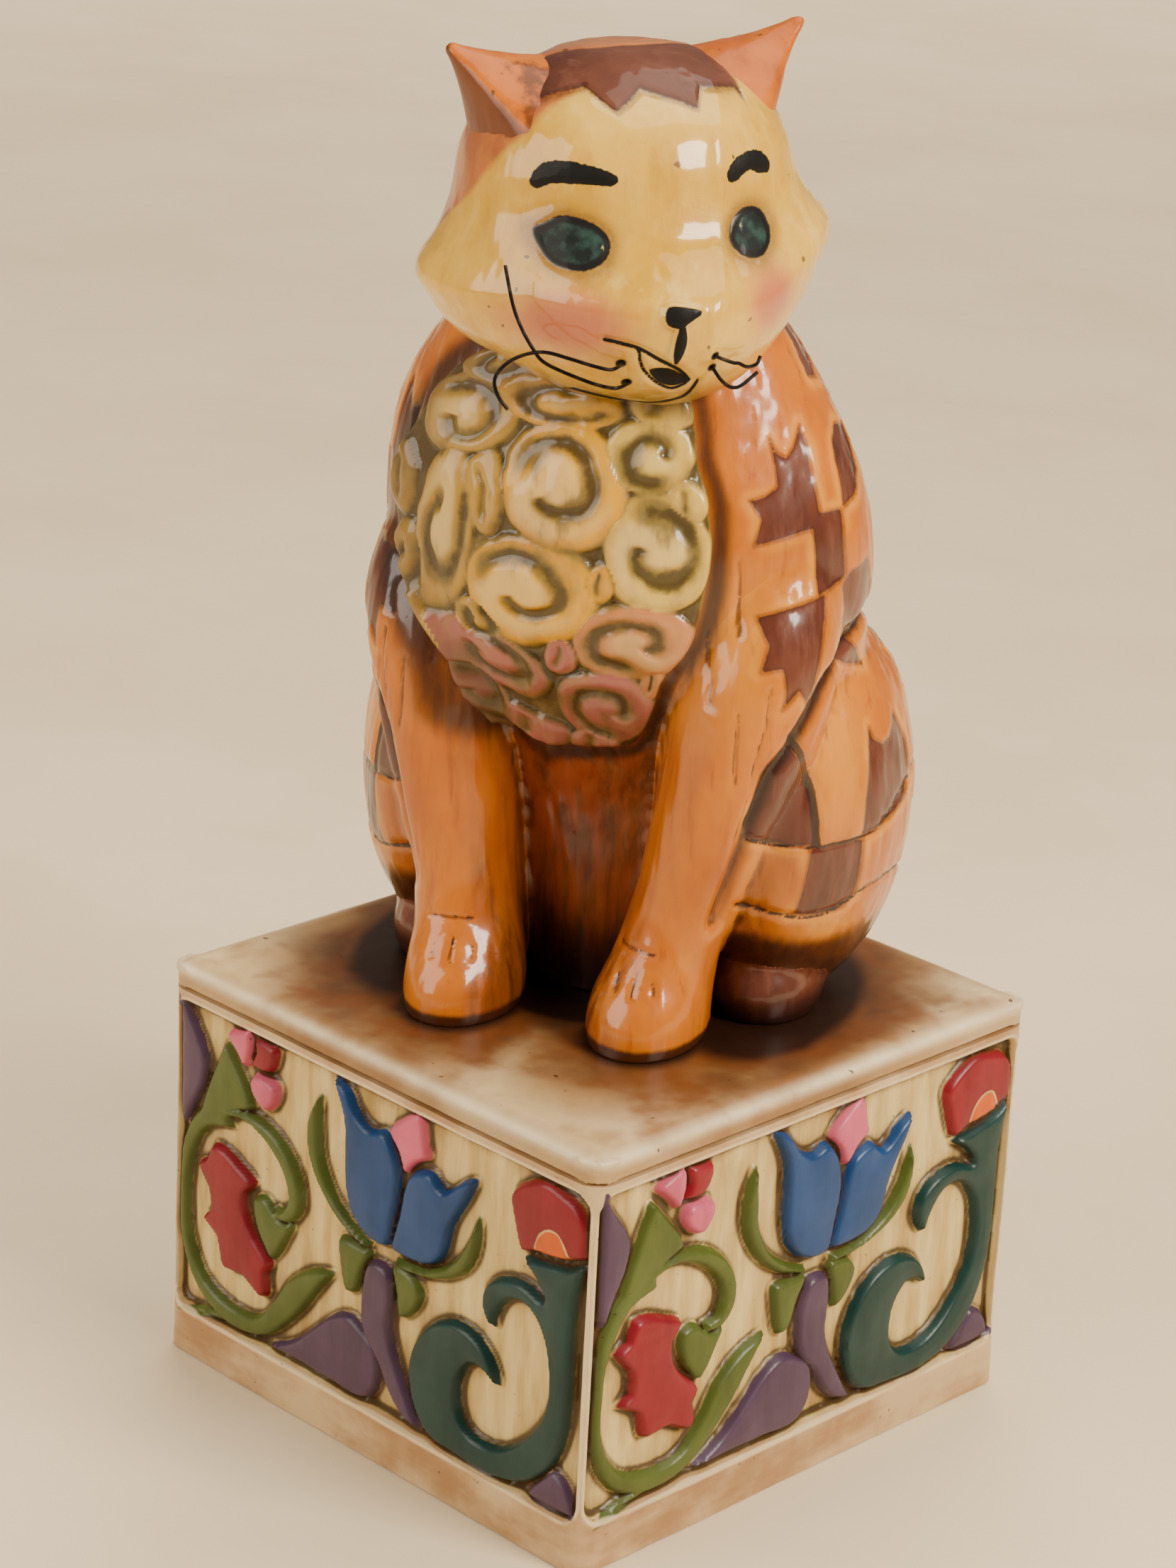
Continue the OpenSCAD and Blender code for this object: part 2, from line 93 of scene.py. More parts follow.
def useModifier(obj, kind, **settings):
    pick(obj)
    mod = obj.modifiers.new(kind.title(), kind)
    for key, value in settings.items():
        setattr(mod, key, value)
    bpy.ops.object.modifier_apply(modifier=mod.name)
    return obj


def copyOf(obj, name=None):
    twin = obj.copy()
    twin.data = obj.data.copy()
    if name:
        twin.name = name
    bpy.context.collection.objects.link(twin)
    return twin


def faceOutward(obj):
    pick(obj)
    bpy.ops.object.mode_set(mode="EDIT")
    bpy.ops.mesh.select_all(action="SELECT")
    bpy.ops.mesh.normals_make_consistent(inside=False)
    bpy.ops.object.mode_set(mode="OBJECT")
    return obj


def points(obj):
    co = np.empty(len(obj.data.vertices) * 3)
    obj.data.vertices.foreach_get("co", co)
    return co.reshape(-1, 3) / mm


def setPoints(obj, co):
    obj.data.vertices.foreach_set("co", (co * mm).ravel())
    obj.data.update()


def normals(obj):
    no = np.empty(len(obj.data.vertices) * 3)
    obj.data.vertices.foreach_get("normal", no)
    return no.reshape(-1, 3)


# a number for each point, for the paint to read
def putOn(obj, name, values):
    layer = obj.data.attributes.get(name) or obj.data.attributes.new(name, "FLOAT", "POINT")
    layer.data.foreach_set("value", np.asarray(values, np.float32))


def smoothSteps(x, low, high):
    t = np.clip((x - low) / (high - low), 0, 1)
    return t * t * (3 - 2 * t)


lattice = np.random.default_rng(11).random((24, 24, 24)) * 2 - 1


# soft noise from -1 to 1 with bumps about size apart, size one number or three
def grainAt(p, size):
    q = np.asarray(p) / np.asarray(size, float)
    cell = np.floor(q).astype(int)
    t = q - cell
    t = t * t * (3 - 2 * t)
    total = np.zeros(len(q))
    for dx in (0, 1):
        for dy in (0, 1):
            for dz in (0, 1):
                w = (np.abs(1 - dx - t[:, 0]) * np.abs(1 - dy - t[:, 1]) * np.abs(1 - dz - t[:, 2]))
                total += w * lattice[(cell[:, 0] + dx) % 24, (cell[:, 1] + dy) % 24, (cell[:, 2] + dz) % 24]
    return total


def turnAbout(p, degrees):
    a = math.radians(degrees)
    q = np.array(p, float)
    x, y = q[..., 0].copy(), q[..., 1].copy()
    q[..., 0] = x * math.cos(a) - y * math.sin(a)
    q[..., 1] = x * math.sin(a) + y * math.cos(a)
    return q


# from the cat's own frame, which faces -Y with its left at +X
def toWorld(p):
    return turnAbout(p, figure["bodyTurn"]) + [0, 0, plinthTop]


def fromWorld(p):
    return turnAbout(np.array(p, float) - [0, 0, plinthTop], -figure["bodyTurn"])


# from the head's own frame to the cat's
def headToCat(p):
    a = math.radians(figure["headTilt"])
    q = np.array(p, float)
    x, z = q[..., 0].copy(), q[..., 2].copy()
    q[..., 0] = x * math.cos(a) - z * math.sin(a)
    q[..., 2] = x * math.sin(a) + z * math.cos(a)
    return turnAbout(q, figure["headTurn"]) + figure["headAt"]


def smoothLoop(outline, steps=4):
    p = np.array(outline, float)
    rounded = []
    for i in range(len(p)):
        a, b, c, d = p[i - 1], p[i], p[(i + 1) % len(p)], p[(i + 2) % len(p)]
        for t in np.arange(steps) / steps:
            rounded.append(0.5 * (2 * b + (c - a) * t + (2 * a - 5 * b + 4 * c - d) * t ** 2
                                  + (3 * b - a - 3 * c + d) * t ** 3))
    return np.array(rounded)


def smoothLine(line, steps=4):
    p = np.array(line, float)
    ends = lambda i: p[min(max(i, 0), len(p) - 1)]
    rounded = []
    for i in range(len(p) - 1):
        a, b, c, d = ends(i - 1), ends(i), ends(i + 1), ends(i + 2)
        for t in np.arange(steps) / steps:
            rounded.append(0.5 * (2 * b + (c - a) * t + (2 * a - 5 * b + 4 * c - d) * t ** 2
                                  + (3 * b - a - 3 * c + d) * t ** 3))
    return np.array(rounded + [p[-1]])


# distance of flat points p from an open line
def lineDistance(p, line):
    best = np.full(len(p), farLine)
    near = (p >= line.min(0) - reachOut).all(1) & (p <= line.max(0) + reachOut).all(1)
    q = p[near]
    closest = np.full(len(q), farLine)
    for a, b in zip(line[:-1], line[1:]):
        ab = b - a
        t = np.clip(((q - a) @ ab) / max(ab @ ab, 1e-12), 0, 1)
        closest = np.minimum(closest, np.hypot(*(q - a - t[:, None] * ab).T))
    best[near] = closest
    return best


# distance of flat points p from a closed outline, positive inside it
def insideDistance(p, outline):
    outline = np.asarray(outline, float)
    near = (p >= outline.min(0) - reachOut).all(1) & (p <= outline.max(0) + reachOut).all(1)
    far = np.full(len(p), farInside)
    q = p[near]
    if not len(q):
        return far
    inside = np.zeros(len(q), bool)
    for a, b in zip(outline, np.roll(outline, -1, 0)):
        crosses = (a[1] > q[:, 1]) != (b[1] > q[:, 1])
        rise = b[1] - a[1] if b[1] != a[1] else 1e-12
        inside ^= crosses & (q[:, 0] < (b[0] - a[0]) * (q[:, 1] - a[1]) / rise + a[0])
    d = lineDistance(q, np.vstack([outline, outline[:1]]))
    far[near] = np.where(inside, d, -d)
    return far


# a stem of changing width: rows of x, y and half width
def stemOutline(line, steps=3):
    p = smoothLine(line, steps)
    along = np.gradient(p[:, :2], axis=0)
    along /= np.linalg.norm(along, axis=1)[:, None]
    side = np.stack([-along[:, 1], along[:, 0]], 1) * p[:, 2:3]
    return np.vstack([p[:, :2] + side, (p[:, :2] - side)[::-1]])


# a shader value that adds its Math nodes as it is written in an expression
class Level:
    def __init__(self, paint, socket):
        self.paint = paint
        self.socket = socket

    def work(self, operation, *others):
        node = self.paint.add("ShaderNodeMath", {"operation": operation}, [self, *others])
        return Level(self.paint, node.outputs[0])

    def __add__(self, other):
        return self.work("ADD", other)

    __radd__ = __add__

    def __sub__(self, other):
        return self.work("SUBTRACT", other)

    def __rsub__(self, other):
        return (self * -1) + other

    def __mul__(self, other):
        return self.work("MULTIPLY", other)

    __rmul__ = __mul__

    def __truediv__(self, other):
        return self.work("DIVIDE", other)

    # 0 below low, 1 above high
    def over(self, low, high):
        node = self.paint.add("ShaderNodeMapRange", {"interpolation_type": "SMOOTHSTEP"},
                              {"Value": self, "From Min": low, "From Max": high})
        return Level(self.paint, node.outputs[0])

    def size(self):
        return self.work("ABSOLUTE")

    def most(self, other):
        return self.work("MAXIMUM", other)


class Paint:
    def __init__(self, name):
        self.material = bpy.data.materials.new(name)
        self.material.use_nodes = True
        self.tree = self.material.node_tree
        self.shader = self.tree.nodes["Principled BSDF"]
        self.place = self.add("ShaderNodeTexCoord").outputs["Object"]

    def feed(self, target, value):
        if isinstance(value, Level):
            value = value.socket
        if isinstance(value, bpy.types.NodeSocket):
            self.tree.links.new(value, target)
        else:
            target.default_value = value

    def add(self, kind, settings=None, values=None):
        node = self.tree.nodes.new(kind)
        for key, value in (settings or {}).items():
            if key == "stops":
                for i, (at, colour) in enumerate(value):
                    stop = node.color_ramp.elements[i] if i < 2 else node.color_ramp.elements.new(at)
                    stop.position, stop.color = at, colour
            else:
                setattr(node, key, value)
        pairs = enumerate(values) if isinstance(values, list) else (values or {}).items()
        for key, value in pairs:
            self.feed(node.inputs[key], value)
        return node

    def layer(self, name):
        return Level(self, self.add("ShaderNodeAttribute", {"attribute_name": name}).outputs["Fac"])

    def mix(self, amount, under, over, blend="MIX"):
        node = self.add("ShaderNodeMix", {"data_type": "RGBA", "blend_type": blend, "clamp_factor": True})
        self.feed(node.inputs[0], amount)
        self.feed(node.inputs[6], under)
        self.feed(node.inputs[7], over)
        return node.outputs[2]

    def stretched(self, scale, turn=(0, 0, 0)):
        return self.add("ShaderNodeMapping", None, {"Vector": self.place, "Scale": scale,
                                                    "Rotation": turn}).outputs[0]

    def noise(self, scale, detail=3, rough=0.55, stretch=None, turn=(0, 0, 0)):
        where = self.stretched(stretch, turn) if stretch else self.place
        node = self.add("ShaderNodeTexNoise", None, {"Vector": where, "Scale": scale, "Detail": detail,
                                                     "Roughness": rough})
        return Level(self, node.outputs["Fac"])

    def finish(self, colour, rough, bump=None, strength=0.3, deep=0.0003, coat=0.0, coatRough=0.1):
        self.feed(self.shader.inputs["Base Color"], colour)
        self.feed(self.shader.inputs["Roughness"], rough)
        self.feed(self.shader.inputs["Coat Weight"], coat)
        self.shader.inputs["Coat Roughness"].default_value = coatRough
        self.shader.inputs["Specular IOR Level"].default_value = 0.2
        if bump is not None:
            node = self.add("ShaderNodeBump", None, {"Height": bump, "Strength": strength,
                                                     "Distance": deep})
            self.feed(self.shader.inputs["Normal"], node.outputs[0])
        return self.material


# a colour as it looks on screen, made linear and a little deeper
def tint(red, green, blue):
    linear = [c / 12.92 if c <= 0.04045 else ((c + 0.055) / 1.055) ** 2.4 for c in (red, green, blue)]
    grey = 0.25 * linear[0] + 0.6 * linear[1] + 0.15 * linear[2]
    return tuple(max(0.88 * (grey + (c - grey) * 1.22), 0.002) for c in linear) + (1,)


def wear(obj, material):
    obj.data.materials.clear()
    obj.data.materials.append(material)


camera = {"azimuth": 44.43, "elevation": 20.29, "roll": 2.86, "distance": 0.6833, "lens": 123.3,
          "target": (-0.00546, 0.0, 0.1075)}


def setCamera():
    az, el = math.radians(camera["azimuth"]), math.radians(camera["elevation"])
    outward = Vector((math.sin(az) * math.cos(el), -math.cos(az) * math.cos(el), math.sin(el)))
    turned = outward.to_track_quat("Z", "Y").to_matrix().to_4x4()
    rolled = turned @ Matrix.Rotation(math.radians(camera["roll"]), 4, "Z")
    bpy.ops.object.camera_add()
    obj = bpy.context.object
    obj.matrix_world = Matrix.Translation(Vector(camera["target"]) + outward * camera["distance"]) @ rolled
    obj.data.sensor_fit = "HORIZONTAL"
    obj.data.sensor_width = 36
    obj.data.lens = camera["lens"]
    obj.data.clip_start = 0.01
    bpy.context.scene.camera = obj


lamps = {
    "key": {"at": (0.75, 0.10, 0.62), "size": 0.36, "power": 13.0, "colour": (1.0, 0.90, 0.76)},
    "fill": {"at": (-0.35, -0.90, 0.55), "size": 0.8, "power": 11.5, "colour": (1.0, 0.91, 0.78)},
    "top": {"at": (0.05, 0.25, 0.95), "size": 0.7, "power": 5.0, "colour": (1.0, 0.92, 0.80)},
    "rear": {"at": (-1.5, 1.5, 1.3), "size": 1.4, "power": 42.0, "colour": (1.0, 0.92, 0.80)},
    "skyStrength": 0.27,
    "floor": tint(0.93, 0.87, 0.77),
}


def setLights():
    for name in ("key", "fill", "top", "rear"):
        lamp = lamps[name]
        bpy.ops.object.light_add(type="AREA", location=lamp["at"])
        obj = bpy.context.object
        obj.name = name + "Lamp"
        # rear lights the floor behind
        aim = Vector((-1.2, 1.2, 0)) if name == "rear" else Vector((0, 0, 0.13))
        obj.rotation_euler = (aim - Vector(lamp["at"])).to_track_quat("-Z", "Y").to_euler()
        obj.data.size = lamp["size"]
        obj.data.energy = lamp["power"]
        obj.data.color = lamp["colour"]
        obj.visible_glossy = name != "rear"
    world = bpy.data.worlds.new("studio")
    bpy.context.scene.world = world
    world.use_nodes = True
    world.node_tree.nodes["Background"].inputs["Color"].default_value = (1.0, 0.86, 0.68, 1)
    world.node_tree.nodes["Background"].inputs["Strength"].default_value = lamps["skyStrength"]


def setFloor():
    bpy.ops.mesh.primitive_plane_add(size=6, location=(0, 0, -0.0002))
    floor = nameIt("floor")
    paint = Paint("paleFloor")
    cloud = paint.noise(9, 4)
    paint.finish(paint.mix(cloud.over(0.35, 0.7), lamps["floor"], tint(0.90, 0.835, 0.73)), 0.75)
    wear(floor, paint.material)


deselectAll()
setCamera()
setLights()
setFloor()
print("camera, lights and floor are set")


board = {"across": 105, "high": 74, "relief": 2.4, "thick": 9, "corner": 4, "cell": 0.42,
         "field": (2.0, 102.8, 8.8, 67.0), "fieldCorner": 3, "shoulder": 1.1, "dome": 0.5}

# the panel design on a grid of board["across"] by board["high"]: colour, level, outline
design = [
    ("plum", 0.9, smoothLoop([
        [2.2, 68], [6, 63.5], [9.5, 58], [9, 53], [6.5, 48], [4, 43], [2.4, 46], [2.2, 56]])),
    ("leafGreen", 0.85, smoothLoop([
        [14, 62.5], [17, 60], [22, 53], [17, 50], [11.5, 46], [6.5, 43.5], [9, 52], [12, 59]])),
    ("rose", 0.96, smoothLoop([
        [14.5, 64.5], [17, 66.3], [21, 67], [21.5, 63], [19.8, 59.3], [17.3, 61.5]])),
    ("carmine", 0.9, smoothLoop([
        [22, 66.4], [27.6, 66], [27.4, 62.3], [25, 60.2], [20.8, 60.6], [21.9, 63.5]])),
    ("rose", 0.98, smoothLoop([
        [20.8, 57.5], [22.5, 60], [27.8, 59.4], [28.3, 56.4], [25.5, 53.2], [22.2, 54.8]])),
    ("leafGreen", 0.88, stemOutline([
        [16, 48.8, 2.2], [9, 46.5, 2.2], [5, 40.5, 1.9], [3.6, 32, 1.5], [4.2, 22, 1.7], [9, 14.2, 2],
        [16.5, 11.4, 2.3], [24, 12.2, 2.2], [29, 16.2, 2.6], [33.5, 22, 3.2], [38.5, 27, 2.2],
        [43, 29.8, 0.4]])),
    ("leafGreen", 0.92, stemOutline([
        [14, 49.5, 1.4], [20, 50.6, 1.3], [26.5, 49, 1.9], [31.3, 45, 2.1], [33.2, 39.8, 2.1],
        [31, 36, 1.7], [27.5, 35.6, 1.2]])),
    ("leafGreen", 0.8, smoothLoop([
        [22, 36.3], [25.5, 37.5], [29, 35], [32.6, 35], [31.4, 31.5], [27.6, 26], [24.5, 28.4],
        [22.4, 32]])),
    ("leafGreen", 0.8, stemOutline([[3, 7.6, 0.3], [9, 9.3, 1], [16, 10.4, 1.3], [25, 12, 1.2]])),
    ("carmine", 0.95, smoothLoop([
        [11, 42.6], [14.5, 42.8], [18, 41.4], [22.8, 39], [20.6, 36], [21, 32.5], [23.5, 29],
        [27.4, 25.6], [26.3, 23], [26.8, 19.6], [24.7, 17.7], [20, 20], [15.2, 19.4], [13.5, 21.5],
        [12.6, 25], [8.2, 27.5], [10.6, 29.6], [10.2, 33.5], [7, 37.5], [9.6, 39.4]], 2)),
    ("seaBlue", 0.97, smoothLoop([
        [41.8, 66.4], [45.8, 65.2], [48.5, 61.8], [51.5, 60.2], [55, 61], [58, 58], [59.3, 53],
        [58.6, 47], [57, 40.4], [52, 40], [47.5, 43], [45.6, 47.5], [45.2, 54], [44.6, 60]])),
    ("seaBlue", 0.93, smoothLoop([
        [60, 53.2], [62, 56.4], [66.3, 57.8], [69.5, 55.8], [73.5, 59], [76.8, 60], [75.4, 56], [72, 50],
        [70.3, 44], [67, 40.7], [62, 39.8], [57.4, 40.6], [58.8, 47]])),
    ("rose", 0.86, smoothLoop([
        [62.4, 67.2], [64.4, 66], [65.2, 62.2], [65.8, 59.6], [63, 57.6], [60, 54.6], [58.2, 58.2],
        [55.6, 61.6], [59, 65]])),
    ("leafGreen", 0.9, stemOutline([
        [38.6, 61.5, 0.4], [37.3, 56, 1.8], [37.9, 50, 1.9], [41, 44.6, 1.6], [46, 40.6, 1.3],
        [52, 38.3, 1]])),
    ("leafGreen", 0.9, stemOutline([
        [77.2, 53.8, 0.4], [76.9, 50, 1.3], [75, 45, 1.8], [71, 41.2, 1.5], [65, 38.8, 1.2],
        [58, 38.2, 1]])),
    ("leafGreen", 0.78, smoothLoop([
        [44, 37.6], [49, 38.2], [52.5, 37.4], [50.6, 33], [49, 28.6], [46, 27.8], [44.6, 32]])),
    ("leafGreen", 0.78, smoothLoop([
        [57.5, 37.6], [62, 37.8], [65.2, 34.6], [63, 30], [59.6, 28.2], [58.4, 33]])),
    ("plum", 0.94, smoothLoop([
        [51.5, 35.4], [54.5, 37], [57.8, 35.6], [58.5, 31], [58, 25.5], [60, 20], [64, 13], [66, 9.8],
        [62, 10.2], [58, 13.2], [55, 18], [51, 22.5], [50.2, 29]])),
    ("plum", 0.86, smoothLoop([
        [26.5, 9.7], [33, 13.5], [38, 18], [43, 22.5], [47, 24.2], [51, 23], [55, 19.5], [55.3, 14],
        [53.2, 10.4], [49.5, 9], [44, 9.4], [35, 9.6]])),
    ("plum", 0.8, smoothLoop([
        [91, 9.4], [94.5, 14], [97, 16.3], [100.6, 14.4], [102.4, 11.2], [102.8, 9.4], [97, 8.6]])),
    ("tealGreen", 0.98, smoothLoop([
        [83.8, 25.2], [82.8, 29.3], [79.5, 32.4], [74.5, 33.7], [69, 32], [64.5, 27.5], [62.4, 21.5],
        [63.6, 14.6], [68, 9.8], [76, 8.8], [85, 8.9], [92, 11.5], [97.4, 17], [100, 24], [100.8, 33],
        [100.6, 42], [101.2, 49], [102.6, 55.2], [98.5, 53.4], [93, 52.3], [87.8, 51], [91.3, 48.4],
        [93.2, 45.6], [88.5, 46.8], [83, 45.6], [79.6, 42.4], [79.4, 38.4], [82, 35.3], [83.4, 39],
        [86.2, 42.2], [90.4, 42.3], [93.9, 38.4], [95.2, 31], [93.8, 24.5], [89.4, 18.6], [84, 15],
        [78.2, 14.7], [75.2, 18], [75.2, 23.4], [77.6, 26.9], [80.6, 26.8]])),
    ("carmine", 0.9, smoothLoop([
        [87.6, 51.8], [85.4, 57.4], [84.8, 61.4], [88, 64.4], [92.5, 66.4], [97, 65.6], [100, 64.6],
        [102.2, 62.2], [102.8, 58.5], [102.3, 55.6], [98.8, 54.2], [95, 53.4], [91, 52.6]])),
    ("ochre", 1.0, smoothLoop([[91.8, 53], [92, 56], [94, 58.1], [96.6, 58.2], [98.4, 55.6], [98.6, 54]])),
]
motifColours = {
    "plum": tint(0.28, 0.21, 0.29), "leafGreen": tint(0.30, 0.34, 0.17), "rose": tint(0.74, 0.38, 0.46),
    "carmine": tint(0.48, 0.0, 0.15), "seaBlue": tint(0.0, 0.23, 0.41),
    "tealGreen": tint(0.0, 0.195, 0.185),
    "ochre": tint(0.78, 0.38, 0.16),
}
print("the panel design is drawn")


# how far inside the carved field of a panel, whose corners are round
def fieldDistance(p):
    left, right, low, high = board["field"]
    r = board["fieldCorner"]
    middle = np.array([(left + right) / 2, (low + high) / 2])
    half = np.array([(right - left) / 2 - r, (high - low) / 2 - r])
    q = np.abs(p - middle) - half
    outside = np.hypot(*np.maximum(q, 0).T)
    return r - outside - np.minimum(q.max(1), 0)


def boxBlur(grid, reach):
    for axis in (0, 1):
        padded = np.pad(grid, [(reach + 1, reach) if a == axis else (0, 0) for a in (0, 1)], mode="edge")
        total = np.cumsum(padded, axis)
        upper = np.take(total, range(2 * reach + 1, total.shape[axis]), axis)
        lower = np.take(total, range(0, total.shape[axis] - 2 * reach - 1), axis)
        grid = (upper - lower) / (2 * reach + 1)
    return grid


# the way out of the rounded square, and how far round a corner each point lies
def outwardOfPlinth(p):
    flatHalf = plinthSide / 2 - board["corner"]
    q = np.sign(p[:, :2]) * np.maximum(np.abs(p[:, :2]) - flatHalf, 0)
    length = np.linalg.norm(q, axis=1)
    out = np.zeros_like(p)
    out[:, :2] = q / np.maximum(length, 1e-9)[:, None]
    return out, length


# slight waviness of the plinth's outer skin, the same on every board that meets there
def handWorn(p):
    out, length = outwardOfPlinth(p)
    skin = smoothSteps(length, board["corner"] - 3.2, board["corner"] - 0.4)
    waves = (0.22 * grainAt(p, (26, 26, 18)) + 0.1 * grainAt(p, (7, 7, 5))
             + 0.04 * grainAt(p, (2.6, 2.6, 2.0)))
    return p + out * (skin * (waves - 0.1))[:, None]


# the front panel: a fine grid pushed in and out, then given its thickness and mitres
def carvePanel():
    side, r = plinthSide / 2, board["corner"]
    reach = side - r * (1 - math.sqrt(0.5))                 # where two panels meet on the round corner
    across = int(2 * reach / board["cell"])
    tall = int(panelHigh / board["cell"])
    bpy.ops.mesh.primitive_grid_add(x_subdivisions=across, y_subdivisions=tall, size=1)
    panel = nameIt("panelFront")
    flat = points(panel) * mm                                # -0.5 to 0.5
    x = flat[:, 0] * 2 * reach
    z = (flat[:, 1] + 0.5) * panelHigh
    p = np.stack([(x + side) * board["across"] / plinthSide, z * board["high"] / plinthTop], 1)
    inField = fieldDistance(p)
    ground = smoothSteps(inField, -0.5, 0.9)
    height = 1 - ground
    raised = np.zeros(len(p))
    paints = {name: np.full(len(p), farInside) for name in motifColours}
    for name, level, outline in design:
        d = insideDistance(p, outline)
        body = smoothSteps(d, -0.25, board["shoulder"]) * level
        crown = board["dome"] * (1 - np.exp(-np.maximum(d, 0) / 2.2)) / board["relief"]
        raised = np.maximum(raised, body + np.where(d > 0, crown, 0) - 0.16 * smoothSteps(d, -0.3, 0.9))
        for other in paints:                                 # what is drawn later lies on top
            if other != name:
                paints[other] = np.minimum(paints[other], -d)
        paints[name] = np.maximum(paints[name], d)
    shown = smoothSteps(inField, -1.2, 0.4)
    height = np.maximum(height, raised * shown + (1 - shown) * height)
    spot = np.stack([x, z, 0 * x], 1)
    strokes = grainAt(spot, (0.9, 7, 1)) + 0.6 * grainAt(spot, (0.45, 3.5, 1))
    low = 1 - smoothSteps(height, 0.0, 0.5)
    depth = board["relief"] * (1 - height) + 0.12 * strokes * low
    cornerIn = np.maximum(np.abs(x) - (side - r), 0)
    bend = r - np.sqrt(np.maximum(r * r - cornerIn ** 2, 0))
    y = -side + np.maximum(bend, 0) + depth * smoothSteps(reach - np.abs(x), 0.0, 1.0)
    rows = tall + 1
    grid = height.reshape(rows, -1)
    # how far each point lies below its close and its broad surroundings; the paint darkens these recesses
    # as painted shade with an antiquing wash
    cavity = (boxBlur(grid, 3) - grid).ravel()
    broad = (boxBlur(grid, 9) - grid).ravel()
    setPoints(panel, np.stack([x, y, z], 1))
    putOn(panel, "cavity", cavity)
    putOn(panel, "hollow", broad)
    putOn(panel, "rail", -inField)
    for name, d in paints.items():
        putOn(panel, name, d)
    pick(panel)
    bpy.ops.object.mode_set(mode="EDIT")
    bpy.ops.mesh.select_all(action="DESELECT")
    bpy.context.tool_settings.mesh_select_mode = (False, True, False)
    bpy.ops.mesh.select_non_manifold()
    bpy.ops.mesh.extrude_region_move(TRANSFORM_OT_translate={"value": (0, board["thick"] * mm, 0)})
    bpy.ops.mesh.edge_face_add()
    bpy.ops.object.mode_set(mode="OBJECT")
    co = points(panel)
    back = np.arange(len(co)) >= len(flat)
    inner = side - board["thick"]
    co[back, 1] = -inner
    co[back, 0] *= inner / reach
    setPoints(panel, co)
    return faceOutward(panel)


def paintPanel():
    paint = Paint("antiquedCream")
    brush = paint.noise(260, 4, 0.6, stretch=(1, 1, 0.16))
    cloud = paint.noise(55, 4)
    speck = paint.noise(900, 1)
    cream = paint.mix(brush.over(0.3, 0.72), tint(0.86, 0.78, 0.58), tint(0.72, 0.61, 0.41))
    cream = paint.mix(cloud.over(0.45, 0.75) * 0.5, cream, tint(0.62, 0.52, 0.34))
    rail = (paint.layer("rail") + (cloud - 0.5) * 1.2).over(-0.5, 0.4)
    level = paint.noise(150, 4, 0.6, stretch=(0.25, 0.25, 1))
    worn = paint.mix((cloud * 0.6 + level * 0.4).over(0.4, 0.62), tint(0.80, 0.70, 0.56),
                     tint(0.64, 0.50, 0.37))
    colour = paint.mix(rail, cream, worn)
    wobble = (paint.noise(420, 2) - 0.5) * 0.35
    for name, shade in motifColours.items():
        darker = tuple(c * 0.62 for c in shade[:3]) + (1,)
        tone = paint.mix(brush.over(0.35, 0.75) * 0.6, shade, darker)
        tone = paint.mix(cloud.over(0.4, 0.7) * 0.35, tone,
                         tuple(min(c * 1.5 + 0.02, 1) for c in shade[:3]) + (1,))
        edge = (paint.layer(name) + wobble).over(0.05, 0.3)
        colour = paint.mix(edge, colour, tone)
    # painted shade with an antiquing wash: dark brown deep in the carved recesses, lighter brown more
    # broadly round the motifs
    wash = (paint.layer("cavity") * 4.6 + (cloud - 0.5) * 0.5 + (brush - 0.5) * 0.4).over(0.2, 0.95)
    hollow = (paint.layer("hollow") * 2.2 + (brush - 0.5) * 0.8).over(0.3, 1.2)
    colour = paint.mix(hollow * 0.5, colour, tint(0.44, 0.32, 0.18))
    colour = paint.mix(wash * 0.88, colour, tint(0.20, 0.13, 0.07))
    # raised parts of the rail paler: rubbed wear with a painted highlight
    bare = (paint.layer("cavity") * -5.5 + (cloud - 0.5) * 0.9 + (brush - 0.5) * 0.5).over(0.3, 1.1)
    colour = paint.mix(bare * rail * 0.7, colour, tint(0.93, 0.86, 0.72))
    colour = paint.mix(speck.over(0.74, 0.78) * 0.6, colour, tint(0.25, 0.16, 0.10))
    rough = brush * 0.25 + 0.33
    return paint.finish(colour, rough, brush * 0.6 + cloud * 0.4, 0.35, 0.0003, coat=0.3, coatRough=0.28)


def buildPlinth():
    cream = paintPanel()
    first = carvePanel()
    sides = ("Front", "Right", "Back", "Left")
    for i, side in enumerate(sides):
        panel = copyOf(first, "panel" + side) if i else first
        panel.data.name = panel.name
        if i:
            setPoints(panel, handWorn(turnAbout(points(first), 90 * i)))
        wear(panel, cream)
    setPoints(first, handWorn(points(first)))
    for side in sides:
        panel = bpy.data.objects["panel" + side]
        pick(panel)
        bpy.ops.object.shade_smooth_by_angle(angle=math.radians(50))
        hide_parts("panel_" + side.lower())
        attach(panel, "root")
    return cream


cream = buildPlinth()
print("the four carved panels are done")

